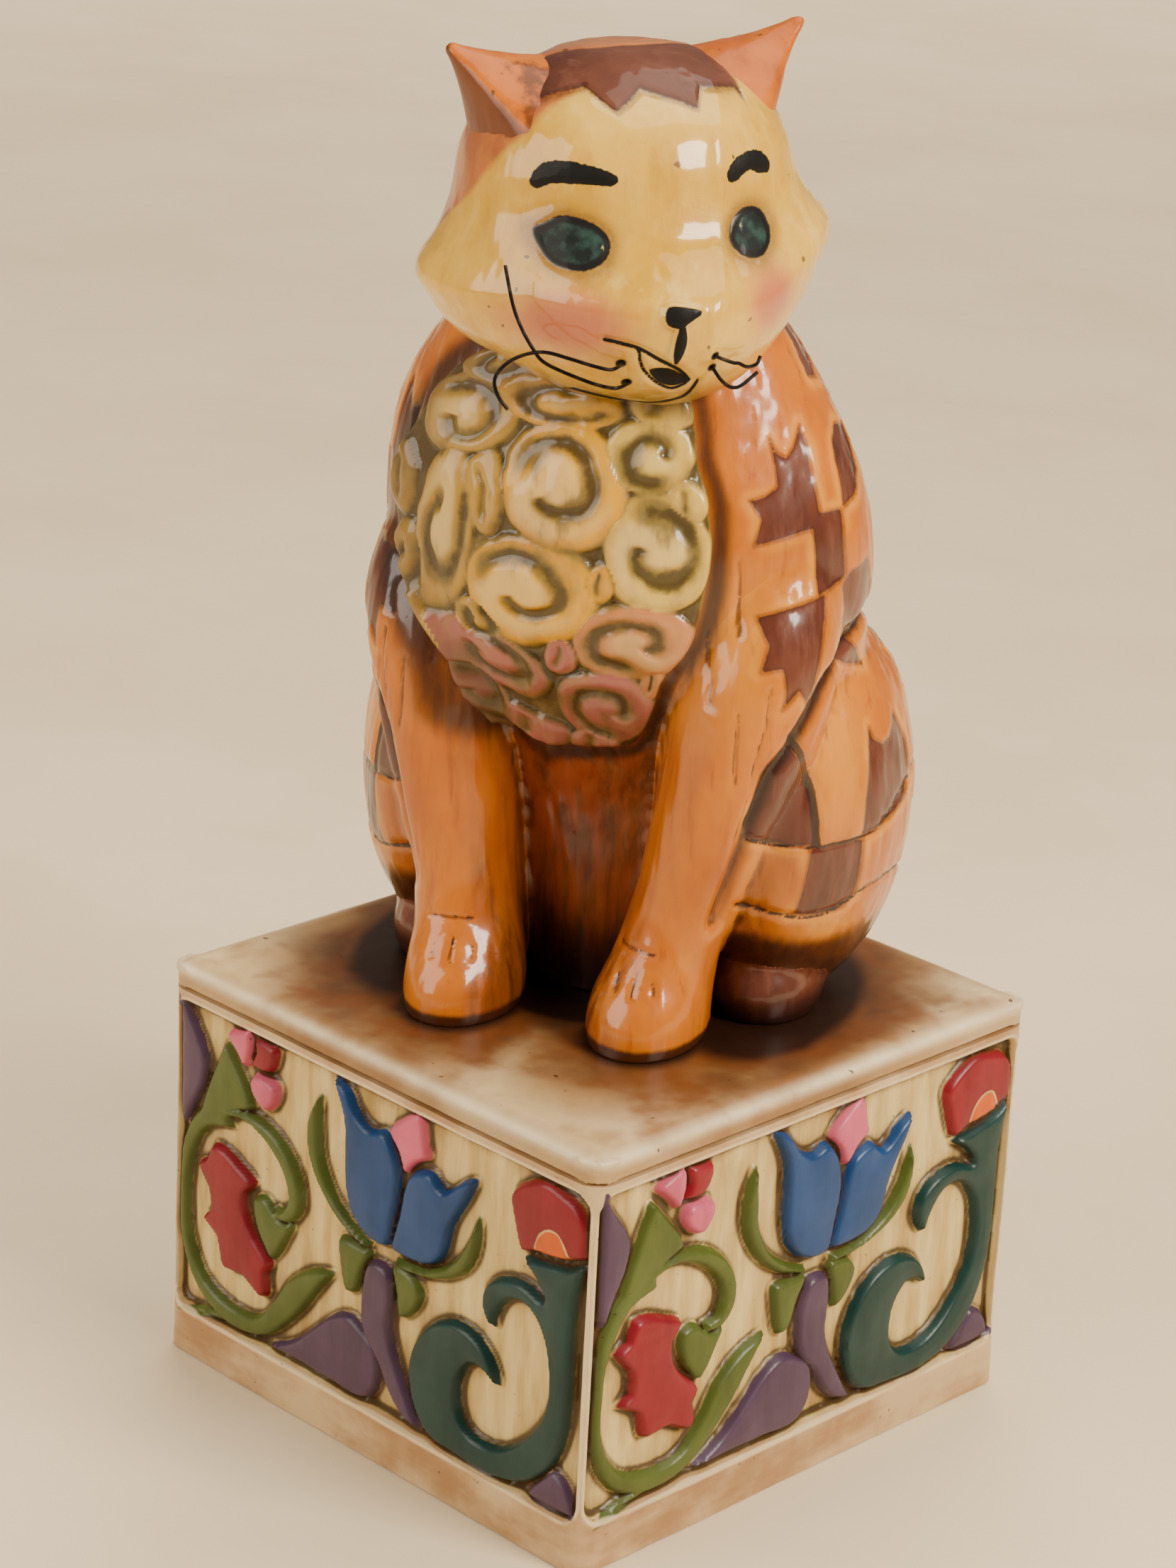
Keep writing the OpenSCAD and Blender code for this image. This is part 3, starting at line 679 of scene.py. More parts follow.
# the cat's carved body, in its own frame; rows give height, middle x, middle y, half width, half depth
body = {
    "torso": [
        [-4, 0, 17, 28, 24], [0, 0, 17, 29, 25], [15, 0, 16.5, 33, 26.5], [35, 0, 15, 35.5, 26.5],
        [50, 0, 11, 38, 28], [66, 0, 4.5, 41, 31], [80, -0.2, 2, 42, 30], [93, -0.8, 0.5, 40.5, 27.5],
        [103, -1.6, 0, 37, 24.5], [112, -1.8, -1.5, 31.5, 22], [119, -1.2, -3, 26, 19.5],
        [124, -0.6, -4, 22, 17]],
    "foreleg": [
        [-4, 16.4, -19, 9, 13.3], [0, 16.4, -19, 9.6, 14], [5, 16.4, -19, 9.9, 14.2],
        [9, 16.7, -18, 9.4, 13.2], [14, 17.6, -15.6, 8.6, 11], [22, 19.4, -14, 8.7, 10.4],
        [32, 22.2, -13, 10, 11.8], [50, 26, -11.5, 12.4, 14], [66, 28.2, -9, 13.6, 14.5],
        [78, 28, -7, 12, 12], [88, 26.5, -5, 8, 8]],
    "legLean": (-1.3, 45),
    "haunch": ((28.8, 13, 34), (18.7, 28.5, 34.5)),
    "hindPaw": ((28.6, 2.5, 4.5), (9.8, 12.5, 9.8)),
    "chest": ((-1, -12.5, 83), (24.5, 15.5, 31)),
    "voxel": 0.75,
    "softening": 12,
}


# a ring that is extruded up through the rows and closed at both ends
def grownForm(name, rows, sides=32):
    high, x, y, wide, deep = rows[0]
    bpy.ops.mesh.primitive_circle_add(vertices=sides, radius=mm, fill_type="NGON")
    form = nameIt(name)
    bpy.ops.object.mode_set(mode="EDIT")
    bpy.context.tool_settings.mesh_select_mode = (False, False, True)
    bpy.ops.mesh.select_all(action="SELECT")
    bpy.ops.transform.resize(value=(wide, deep, 1), center_override=(0, 0, 0))
    bpy.ops.transform.translate(value=(x * mm, y * mm, high * mm))
    for row in rows[1:]:
        step = ((row[1] - x) * mm, (row[2] - y) * mm, (row[0] - high) * mm)
        bpy.ops.mesh.extrude_region_move(TRANSFORM_OT_translate={"value": step})
        middle = (row[1] * mm, row[2] * mm, row[0] * mm)
        bpy.ops.transform.resize(value=(row[3] / wide, row[4] / deep, 1), center_override=middle)
        high, x, y, wide, deep = row
    bpy.ops.mesh.select_all(action="SELECT")
    bpy.ops.mesh.normals_make_consistent(inside=False)
    bpy.ops.object.mode_set(mode="OBJECT")
    return useModifier(form, "SUBSURF", levels=2, render_levels=2)


def eggForm(name, middle, half):
    bpy.ops.mesh.primitive_uv_sphere_add(segments=64, ring_count=40, radius=mm)
    form = nameIt(name)
    bpy.ops.object.mode_set(mode="EDIT")
    bpy.ops.mesh.select_all(action="SELECT")
    bpy.ops.transform.resize(value=half, center_override=(0, 0, 0))
    bpy.ops.transform.translate(value=[v * mm for v in middle])
    bpy.ops.object.mode_set(mode="OBJECT")
    return form


def mirrored(obj, name):
    twin = copyOf(obj, name)
    co = points(twin)
    setPoints(twin, co * [-1, 1, 1])
    pick(twin)
    bpy.ops.object.mode_set(mode="EDIT")
    bpy.ops.mesh.select_all(action="SELECT")
    bpy.ops.mesh.flip_normals()
    bpy.ops.object.mode_set(mode="OBJECT")
    return twin


# evens the surface out, most where share is 1
def relax(obj, rounds, share=None):
    ends = np.empty(len(obj.data.edges) * 2, int)
    obj.data.edges.foreach_get("vertices", ends)
    ends = ends.reshape(-1, 2)
    co = points(obj)
    here, there = np.concatenate([ends[:, 0], ends[:, 1]]), np.concatenate([ends[:, 1], ends[:, 0]])
    count = np.bincount(here, minlength=len(co))[:, None]
    weight = 0.5 if share is None else 0.5 * share[:, None]
    for turn in range(rounds):
        around = np.stack([np.bincount(here, co[there, k], len(co)) for k in range(3)], 1) / count
        co = co + (around - co) * weight
    setPoints(obj, co)


# cut level with the floor and closed
def flatFoot(obj):
    pick(obj)
    bpy.ops.object.mode_set(mode="EDIT")
    bpy.ops.mesh.select_all(action="SELECT")
    bpy.ops.mesh.bisect(plane_co=(0, 0, 0), plane_no=(0, 0, 1), clear_inner=True, use_fill=True)
    bpy.ops.object.mode_set(mode="OBJECT")


def buildForms():
    forms = {"torso": grownForm("torsoForm", body["torso"]),
             "forelegLeft": grownForm("forelegForm", body["foreleg"], 24),
             "haunchLeft": eggForm("haunchForm", *body["haunch"]),
             "hindPawLeft": eggForm("pawForm", *body["hindPaw"]),
             "chest": eggForm("chestForm", *body["chest"])}
    for name in ("foreleg", "haunch", "hindPaw"):
        forms[name + "Right"] = mirrored(forms[name + "Left"], name + "Twin")
    shift, reach = body["legLean"]
    for name in ("forelegLeft", "forelegRight"):
        co = points(forms[name])
        co[:, 0] += shift * (1 - smoothSteps(co[:, 2], 0, reach))
        setPoints(forms[name], co)
    return forms


def buildBody(forms):
    pick(*[copyOf(form) for form in forms.values()])
    bpy.ops.object.join()
    whole = nameIt("carvedBody")
    useModifier(whole, "REMESH", mode="VOXEL", voxel_size=body["voxel"] * mm)
    relax(whole, body["softening"])
    flatFoot(whole)
    return whole


forms = buildForms()
carvedBody = buildBody(forms)
chestBlank = copyOf(carvedBody)
print("the body is blocked out:", len(carvedBody.data.polygons), "faces")


# the ruff: each curl has its middle, half width, half height, lean, start of its spiral, and colour,
# on the chest's chart of 0.52 mm for each degree round and height
ruff = {
    "outline": [
        [-28.3, 101], [-30.6, 94.3], [-32.1, 84.2], [-28.4, 75.9], [-24.7, 68.9], [-21.9, 63.8],
        [-19.7, 58.2], [-17.8, 52.3], [-12.8, 48.4], [-7.6, 45.8], [-2.2, 46.4], [8.6, 47.6],
        [14.7, 49.1], [16.7, 56.7], [17, 61.9], [19.4, 66.9], [20.9, 72.2], [21.7, 79.5], [22, 87.6],
        [21.6, 94.3], [20.4, 99.7], [20.1, 105], [18.5, 111], [10, 115], [-2, 116], [-14, 115],
        [-24, 109]],
    "across": (-37, 27), "tall": (41, 119), "cell": 0.42, "thick": 0.9, "pillow": 1.75, "spiral": 1.0,
    "fullness": 1.08,
    "curls": [
        (0.0, 94.3, 9.8, 9.9, 0, 200, "gold"), (13.0, 100.4, 6.2, 6.0, 0, 330, "pale"),
        (14.2, 85.2, 7.6, 9.2, 0, 150, "pale"), (-4.4, 76.2, 10.6, 8.9, 8, 190, "gold"),
        (-19.4, 83.4, 5.0, 14.0, -4, 80, "cream"), (-26.2, 75.8, 3.6, 7.2, 8, 80, "cream"),
        (-28.6, 89.6, 3.0, 6.0, 0, 90, "cream"), (-17.4, 102.6, 8.6, 6.2, 18, 150, "cream"),
        (-2.4, 107.4, 10.5, 4.4, 0, 30, "gold"), (-12.4, 62.8, 10.6, 5.6, -18, 140, "pink"),
        (11.6, 69.8, 8.9, 6.9, 10, 300, "blush"), (7.4, 56.0, 8.8, 7.0, 8, 320, "pink"),
        (-7.8, 50.2, 7.4, 3.2, -12, 160, "pink"), (0.4, 65.2, 2.8, 3.4, 0, 90, "pink"),
        (-23.4, 66.4, 2.8, 5.6, 26, 90, "cream"), (-16.6, 55.6, 3.9, 6.2, 24, 150, "pink"),
        (18.4, 93.6, 2.8, 3.2, 0, 90, "pale"), (-12.6, 90.6, 2.9, 6.6, 6, 90, "cream"),
        (-13.8, 69.4, 4.2, 3.6, 20, 90, "cream"), (3.0, 112.0, 9, 3.4, 0, 90, "cream"),
        (14.4, 108.6, 5, 3.4, -16, 90, "pale"), (-13.4, 111.6, 7, 3.6, 16, 90, "cream"),
        (5.4, 48.6, 6, 2.6, 4, 90, "pink"), (15.4, 62.6, 2.4, 3.2, 0, 90, "blush"),
        (6.4, 79.6, 2.2, 3.2, 0, 90, "gold"),
    ],
}

# carving marks and painted designs on the body, drawn on its chart: 0.66 mm for each degree round, and
# height
leftPatches = [
    [[51.2, 119.6], [56, 119], [60.5, 116], [62.5, 112.5], [56.5, 109.6], [52.2, 110.4], [52.6, 115]],
    [
        [37.8, 102.7], [39, 100.5], [40.6, 99.5], [42.4, 101.1], [44.5, 104.2], [45, 101.5], [45, 97.8],
        [45, 94.5], [45.4, 90.6], [50, 90.6], [50.4, 83.4], [50.9, 79.1], [47.3, 78.2], [43.8, 77.9],
        [44.4, 82.1], [43.9, 88.3], [40.3, 87.8], [37.9, 87.2], [33.6, 86.2], [35.1, 90.6], [33.1, 93.4],
        [35.8, 94], [38.1, 95.2], [38.3, 98.4]],
    [
        [54.6, 102.9], [51.8, 101], [51, 97.9], [50.9, 93.5], [50.7, 90.8], [54.5, 91.6], [58.5, 95],
        [60, 102]],
    [
        [50.4, 78], [52.1, 79.8], [58, 80.8], [62, 75], [62, 70], [56, 68.8], [54.1, 64.8], [48.3, 68],
        [51.2, 73.7]],
    [
        [34, 74.9], [37.1, 76], [41.5, 77.1], [45.2, 77.8], [44.1, 73.5], [42.9, 69.2], [41.8, 64.1],
        [40.9, 60.7], [38.8, 63.4], [36.4, 60.5], [36.9, 63.2], [36.6, 67.2], [33.5, 66.6], [34.9, 70.8]],
    [[55.8, 67.6], [62.5, 61], [56.6, 62.5], [50, 65.6]],
    [
        [38.8, 54.4], [41.4, 50.5], [45.5, 44.7], [46.2, 41.1], [46.6, 34.6], [42.9, 34.8], [35, 36.9],
        [33.6, 40.5], [35.3, 46.1], [37, 50.3]],
    [
        [58.4, 51.8], [58.7, 49.8], [60.6, 48.2], [62.9, 48.6], [66, 52], [69, 46], [69, 40], [66, 36.5],
        [60.2, 35], [57.5, 34.4], [54.7, 34.4], [55.3, 40.3], [56.9, 45.8], [57.6, 49.1]],
    [
        [45.6, 34.1], [50.4, 34.1], [54.7, 34], [55, 27.9], [55.2, 23.3], [53.4, 21.4], [48.9, 21.3],
        [45.1, 22], [45.3, 27.7]],
    [
        [66, 99], [71, 101], [77, 99.5], [79.5, 104], [82, 98.8], [81.6, 92], [86, 91.5], [85.5, 84],
        [79, 83.5], [78.4, 76.5], [75, 79.5], [71.6, 76.4], [72.4, 84], [66.4, 84.6], [68.6, 89],
        [65.6, 92.2], [66.4, 95]],
    [
        [76, 66], [82, 67.6], [88.6, 66.4], [88, 59.4], [94, 58.4], [93.4, 51], [88, 50], [87, 44.4],
        [83.4, 47.6], [79.6, 44.6], [80.4, 52], [75.4, 53], [78, 57.6], [74.6, 61]],
    [[72, 33.6], [79, 34.4], [86, 33.6], [85.4, 26], [84.4, 19.4], [77.6, 20.4], [72.4, 21.6], [72, 27.6]],
]
# down the spine they run their own way, on the chart counted on past the middle of the back at 118.8
backPatches = [
    [
        [94, 112], [99, 113.6], [105, 112.4], [111, 115.6], [111.6, 108], [106, 105.6], [104.6, 99],
        [100.4, 101.6], [96, 99.6], [97, 105]],
    [
        [122, 106.6], [128, 108], [134, 106.6], [139.6, 109.6], [139, 102], [134.6, 99.4], [134, 93],
        [129, 95.4], [124.8, 92.6], [125.4, 99]],
    [
        [104.6, 94.6], [111, 96], [117.6, 94.6], [117.2, 87], [123.4, 86.4], [122.6, 79], [116.6, 78.6],
        [115.4, 73], [111.4, 76], [107, 73], [107.8, 80], [101.6, 81], [104.4, 87]],
    [
        [131.6, 85.6], [138, 86.6], [144.4, 85], [144, 77.6], [139.6, 76.4], [138.4, 70.6], [134.6, 73.4],
        [130.4, 71], [131, 77.6]],
    [
        [93.6, 68], [99.6, 69.6], [105.6, 68.4], [105.4, 61], [111.6, 60.4], [110.6, 53.6], [105, 52.4],
        [101, 47.6], [98.4, 51.4], [94.4, 49.4], [95.2, 56.6]],
    [
        [119, 66.6], [125, 68], [131, 66.6], [130.6, 59.6], [136.4, 58.6], [135, 51.4], [129.6, 50.4],
        [126, 45.4], [123, 49.6], [119.4, 47.4], [120.2, 55]],
    [
        [104.6, 38.6], [111, 39.6], [117.4, 38.4], [117, 31], [122.6, 30.4], [121.4, 23], [115.4, 22],
        [109.8, 23.4], [105, 22.6], [105.4, 30.6]],
]
carving = {
    "haunchGroove": [
        [98, 22], [97, 36], [94, 48], [88, 58], [80, 65], [72, 69], [65, 70], [58.8, 68.6], [55.3, 67.6],
        [47.2, 64.3], [44.2, 62.3], [42.3, 59.1], [40, 55.4], [39.1, 53.1], [37.5, 50.9], [36, 48.6],
        [35.1, 43.6], [34, 39.8], [33.6, 35.8], [33, 30], [32, 22]],
    "grooveDeep": 2.0, "grooveWide": 1.9, "patchDeep": 0.28, "markDeep": 0.14, "facetDeep": 0.34,
    "darkLines": [
        (0.62, [[38.9, 55.6], [41.8, 51], [45.3, 45.9], [46.1, 41.1], [46.5, 34.8]]),
        (0.34, [
            [34.6, 37.2], [39.9, 35.3], [42.9, 34.7], [45.8, 34.3], [50.4, 34.3], [57.5, 34.4],
            [61.6, 36], [66, 38.4], [74, 40.5], [84, 38]]),
        (0.36, [
            [36, 24.2], [38.9, 23.5], [42.6, 22.2], [48, 20.9], [53.2, 21.8], [58, 24], [70, 23],
            [84, 18]]),
        (0.13, [[34.6, 64], [34.2, 58], [33.2, 52], [32.8, 45], [32.2, 38]]),
        (0.1, [[30.6, 60], [30.2, 53], [30.4, 48]]),
        (0.08, [[27.2, 72], [27.6, 66], [27.2, 60]]),
        (0.09, [[31.4, 84], [31.8, 77], [31.6, 72]]),
    ],
    # toes and knuckles, on the front of each foot: half width, then x from the foot's middle, and height
    "footLines": [
        (0.16, [[-3.4, 12.8], [-3.5, 10.8]]), (0.2, [[-0.2, 13.8], [0, 10.4]]),
        (0.12, [[3.2, 12.6], [3.4, 11.0]]), (0.17, [[-4.6, 16.6], [-1, 17], [2.4, 16.7]]),
    ],
}


# mm on the chart for each degree round, and where the body's and the chest's upright axes stand
flankScale, chestScale = 0.66, 0.52
axisBack, chestAside = 4, -1


def chartOf(p):
    turn = np.degrees(np.arctan2(p[:, 0], -(p[:, 1] - axisBack)))
    return np.stack([turn * flankScale, p[:, 2]], 1)


def chestChart(p):
    turn = np.degrees(np.arctan2(p[:, 0] - chestAside, -(p[:, 1] - axisBack)))
    return np.stack([turn * chestScale, p[:, 2]], 1)


# the same design on both flanks, so the right one is read through a mirror
def flankChart(p):
    chart = chartOf(p)
    chart[:, 0] = np.abs(chart[:, 0])
    return chart


def footChart(p):
    middle = np.where(p[:, 0] > 0, 15.1, -17.7)
    turned = (p[:, 0] - middle) + np.where(p[:, 0] > 0, 0.05, 0.12) * (p[:, 1] + 20)
    return np.stack([turned, p[:, 2]], 1), (p[:, 1] < -19) & (p[:, 2] < 20)


def bodyDesign(p):
    chart = flankChart(p)
    patch = np.full(len(p), farInside)
    for outline in leftPatches:
        patch = np.maximum(patch, insideDistance(chart, outline))
    roundBack = chartOf(p)
    roundBack[:, 0] = roundBack[:, 0] % (360 * flankScale)
    for outline in backPatches:
        patch = np.maximum(patch, insideDistance(roundBack, outline))
    groove = lineDistance(chart, smoothLine(carving["haunchGroove"], 2))
    line = np.full(len(p), farInside)
    for half, stroke in carving["darkLines"]:
        line = np.maximum(line, half - lineDistance(chart, smoothLine(stroke, 3)))
    foot, onFoot = footChart(p)
    for half, stroke in carving["footLines"]:
        line = np.where(onFoot, np.maximum(line, half - lineDistance(foot, np.array(stroke))), line)
    return patch, groove, line


def sculptBody(whole):
    co, out = points(whole), normals(whole)
    patch, groove, line = bodyDesign(co)
    sink = carving["patchDeep"] * smoothSteps(patch, -0.5, 0.25)
    sink += carving["grooveDeep"] * np.exp(-(groove / carving["grooveWide"]) ** 2)
    sink += 0.4 * smoothSteps(line, -0.7, 0.2)
    facets = grainAt(co, (8, 8, 17)) * carving["facetDeep"]
    marks = grainAt(co, (1.5, 1.5, 11)) + 0.7 * grainAt(co, (0.9, 0.9, 6))
    lift = facets + marks * carving["markDeep"] - sink
    lift *= smoothSteps(co[:, 2], 0.0, 1.5)
    setPoints(whole, co + out * lift[:, None])


# how far each point lies below the average of its surroundings
def cavityOf(obj, rounds):
    before, out = points(obj), normals(obj)
    relax(obj, rounds)
    hollow = ((points(obj) - before) * out).sum(1)
    setPoints(obj, before)
    return hollow


def paintPine():
    paint = Paint("bareWood")
    rings = paint.noise(120, 4, 0.6, stretch=(1, 1, 0.12))
    fleck = paint.noise(700, 2)
    colour = paint.mix(rings.over(0.35, 0.7), tint(0.86, 0.73, 0.54), tint(0.74, 0.58, 0.39))
    colour = paint.mix(fleck.over(0.6, 0.75) * 0.3, colour, tint(0.55, 0.40, 0.25))
    return paint.finish(colour, rings * 0.2 + 0.55, rings, 0.2, 0.0002)


def paintBody():
    paint = Paint("carvedBody")
    streak = paint.noise(420, 4, 0.65, stretch=(1, 1, 0.09))
    soft = paint.noise(75, 4, 0.6, stretch=(1, 1, 0.45))
    cloud = paint.noise(38, 3)
    fine = paint.noise(1500, 2, stretch=(1, 1, 0.3))
    colour = paint.mix(soft.over(0.3, 0.72), tint(0.765, 0.465, 0.195), tint(0.66, 0.37, 0.125))
    colour = paint.mix(cloud.over(0.5, 0.72) * 0.5, colour, tint(0.82, 0.56, 0.29))
    colour = paint.mix(streak.over(0.56, 0.74) * 0.6, colour, tint(0.52, 0.25, 0.08))
    # paler orange: partly the paint beside the patches, partly a painted highlight on the haunch and legs
    colour = paint.mix(paint.layer("glow") * 0.62, colour, tint(0.90, 0.66, 0.37))
    edge = (paint.layer("patch") + (paint.noise(500, 2) - 0.5) * 0.4).over(-0.03, 0.22)
    rust = paint.mix(soft.over(0.35, 0.7), tint(0.40, 0.23, 0.18), tint(0.27, 0.13, 0.10))
    rust = paint.mix(streak.over(0.5, 0.75) * 0.45, rust, tint(0.52, 0.34, 0.28))
    # the rust patches on the haunch's front darker: painted shade
    rust = paint.mix(paint.layer("red") * 0.9, rust, tint(0.31, 0.12, 0.07))
    colour = paint.mix(edge, colour, rust)
    rim = paint.layer("patch").size().over(0.65, 0.12) * (fine * 0.8 + 0.35)
    colour = paint.mix(rim * 0.62, colour, tint(0.20, 0.09, 0.05))
    # painted shade between the forelegs and on their inner sides, dark red brown with brush streaks
    colour = paint.mix(paint.layer("belly") * (soft * 0.5 + 0.6), colour,
                       paint.mix(streak.over(0.4, 0.66), tint(0.42, 0.17, 0.08), tint(0.20, 0.07, 0.04)))
    # darker in the carved hollows: painted shade with an antiquing wash
    hollow = (paint.layer("cavity") * 4.2 + (fine - 0.5) * 0.4).over(0.12, 0.9)
    colour = paint.mix(hollow * 0.7, colour, tint(0.22, 0.09, 0.04))
    # painted shade in the haunch groove, round the ruff, between, inside and behind the legs, under the
    # head and haunch, and a painted contact shadow along the floor
    paintedShade = paint.layer("wash") + (cloud - 0.5) * 0.5 + (streak - 0.5) * 0.35
    colour = paint.mix(paintedShade.over(0.2, 1.0) * 0.93, colour, tint(0.14, 0.06, 0.035))
    line = (paint.layer("line") + (fine - 0.5) * 0.3).over(-0.06, 0.12)
    colour = paint.mix(line * 0.9, colour, tint(0.11, 0.05, 0.035))
    rough = (streak * 0.25 + 0.26) + line * 0.2
    return paint.finish(colour, rough, streak * 0.55 + fine * 0.2 + soft * 0.5, 0.32, 0.00035,
                        coat=0.75, coatRough=0.12)


def markBody(obj, kind):
    co = points(obj)
    out = normals(obj)
    patch, groove, line = bodyDesign(co)
    chart = flankChart(co)
    low = co[:, 2]
    # painted shade in the haunch groove, and a painted contact shadow along the floor
    wash = 1.15 * np.exp(-(groove / 1.7) ** 2) * smoothSteps(chart[:, 0], 30, 36)
    wash *= 1 - 0.5 * smoothSteps(chart[:, 0], 58, 74)
    wash = np.maximum(wash, 1.3 * (1 - smoothSteps(low, 0.9, 3.2)))
    # painted shade round the edge of the ruff, widest on the cat's right
    chest = chestChart(co)
    bib = insideDistance(chest, smoothLoop(ruff["outline"], 3))
    bibSide = 1 + 0.9 * smoothSteps(-chest[:, 0], 2, 14)
    wash = np.maximum(wash, 0.92 * np.exp(-((bib + 0.8) / (2.0 * bibSide)) ** 2) * (co[:, 1] < 0))
    belly = np.zeros(len(co))
    red = np.zeros(len(co))
    # a paler orange band just outside the patches
    glow = 0.8 * np.exp(-((patch + 1.0) / 0.8) ** 2) * smoothSteps(grainAt(co, (7, 7, 7)), -0.3, 0.4)
    if kind == "torso":
        # painted shade on the front below the chest, between the forelegs
        front = smoothSteps(-out[:, 1], 0.1, 0.5) * (np.abs(co[:, 0]) < 24)
        belly = front * (1 - smoothSteps(low, 52, 66))
        # a painted contact shadow low on the front and low all round, and painted shade on top where the
        # head sits
        wash = np.maximum(wash, front * (1 - smoothSteps(low, 4, 26)) * 0.95)
        wash = np.maximum(wash, 0.55 * (1 - smoothSteps(low, 8, 24)))
        wash = np.maximum(wash, 0.6 * smoothSteps(low, 113, 119) * smoothSteps(-co[:, 1], -8, 8))
    if kind.startswith("foreleg"):
        inward = -out[:, 0] * np.sign(co[:, 0])
        # painted shade on the inner sides of the forelegs
        belly = 0.6 * smoothSteps(inward, 0.3, 0.85) * (1 - smoothSteps(low, 44, 60))
        # painted shade low on the inner sides and on the backs of the forelegs
        wash = np.maximum(wash, smoothSteps(inward, 0.45, 0.95) * (1 - smoothSteps(low, 8, 32)) * 0.6)
        wash = np.maximum(wash, smoothSteps(out[:, 1], 0.0, 0.6) * (1 - smoothSteps(low, 30, 52)) * 0.7)
        glow = np.maximum(glow, 0.4 * smoothSteps(grainAt(co, (9, 9, 30)), 0.1, 0.6)
                          * smoothSteps(low, 12, 30))
    if kind.startswith("haunch"):
        # the front patches of the haunch get painted shade
        red = smoothSteps(-chart[:, 0], -49, -45) * (low > 33)
        # painted shade under the haunch's lower line, except at its pale tip, and at its front and back
        below = 23.8 - 0.1 * (chart[:, 0] - 36)
        dark = smoothSteps(below - low, 1.0, 8.0)
        tip = np.exp(-(((chart[:, 0] - 51) / 5) ** 2 + ((low - 18.5) / 2.6) ** 2))
        wash = np.maximum(wash, dark * (1 - 0.9 * tip) * 0.95)
        wash = np.maximum(wash, smoothSteps(-chart[:, 0], -38.5, -34) * (1 - smoothSteps(low, 40, 56)))
        wash = np.maximum(wash, 0.5 * smoothSteps(-chart[:, 0], -56, -38) * (1 - smoothSteps(low, 30, 52)))
        # a painted highlight on the side of the haunch, and its paler tip
        glow = np.maximum(glow, 0.85 * np.exp(-(((chart[:, 0] - 51) / 5.5) ** 2 + ((low - 50) / 13) ** 2)))
        glow = np.maximum(glow, tip)
    if kind.startswith("hindPaw"):
        # the hind paw is all rust, under painted shade that deepens at the floor
        patch = 3 + 0 * patch
        wash = np.maximum(wash, 0.55 * (1 - smoothSteps(low, 2, 8)) + 0.25)
        line = line + farInside
    for name, values in (("patch", patch), ("line", line), ("wash", wash), ("belly", belly), ("red", red),
                         ("glow", glow)):
        putOn(obj, name, values)


# a form cut out of the blank; the two glued faces come out as bare wood
def cutOut(whole, form, name, spare):
    cutter = copyOf(form)
    co, out = points(cutter), normals(cutter)
    setPoints(cutter, co + out * spare)
    for material in whole.data.materials:
        cutter.data.materials.append(material)
    cutter.data.polygons.foreach_set("material_index", [1] * len(cutter.data.polygons))
    piece = copyOf(whole, name)
    piece.data.name = name
    useModifier(piece, "BOOLEAN", operation="INTERSECT", object=cutter, solver="MANIFOLD")
    useModifier(whole, "BOOLEAN", operation="DIFFERENCE", object=cutter, solver="MANIFOLD")
    bpy.data.objects.remove(cutter)
    return piece


def softShade(obj):
    pick(obj)
    bpy.ops.object.shade_smooth()
    if len(obj.data.materials) < 2:
        return
    bpy.ops.object.mode_set(mode="EDIT")
    bpy.context.tool_settings.mesh_select_mode = (False, False, True)
    bpy.ops.mesh.select_all(action="DESELECT")
    obj.active_material_index = 1
    bpy.ops.object.material_slot_select()
    bpy.ops.mesh.region_to_loop()
    bpy.ops.mesh.mark_sharp()
    bpy.ops.object.mode_set(mode="OBJECT")


sculptBody(carvedBody)
putOn(carvedBody, "cavity", cavityOf(carvedBody, 8))
bodyPaint, pine = paintBody(), paintPine()
carvedBody.data.materials.append(bodyPaint)
carvedBody.data.materials.append(pine)
bodyPieces = {}
for name, spare in (("hindPawLeft", 0.8), ("hindPawRight", 0.8), ("haunchLeft", 0.9), ("haunchRight", 0.9),
                    ("forelegLeft", 1.2), ("forelegRight", 1.2)):
    bodyPieces[name] = cutOut(carvedBody, forms[name], name, spare)
bodyPieces["torso"] = carvedBody
carvedBody.name = "torsoCarving"
for name, piece in bodyPieces.items():
    markBody(piece, name)
print("the body is carved and cut into", len(bodyPieces), "pieces")


ruffShades = {"gold": 0.0, "cream": 0.25, "pale": 0.5, "blush": 0.75, "pink": 1.0}


def chestToCat(chart, reach):
    turn = np.radians(chart[:, 0] / chestScale)
    x, y = np.sin(turn) * reach + chestAside, axisBack - np.cos(turn) * reach
    return np.stack([x, y, chart[:, 1]], 1)


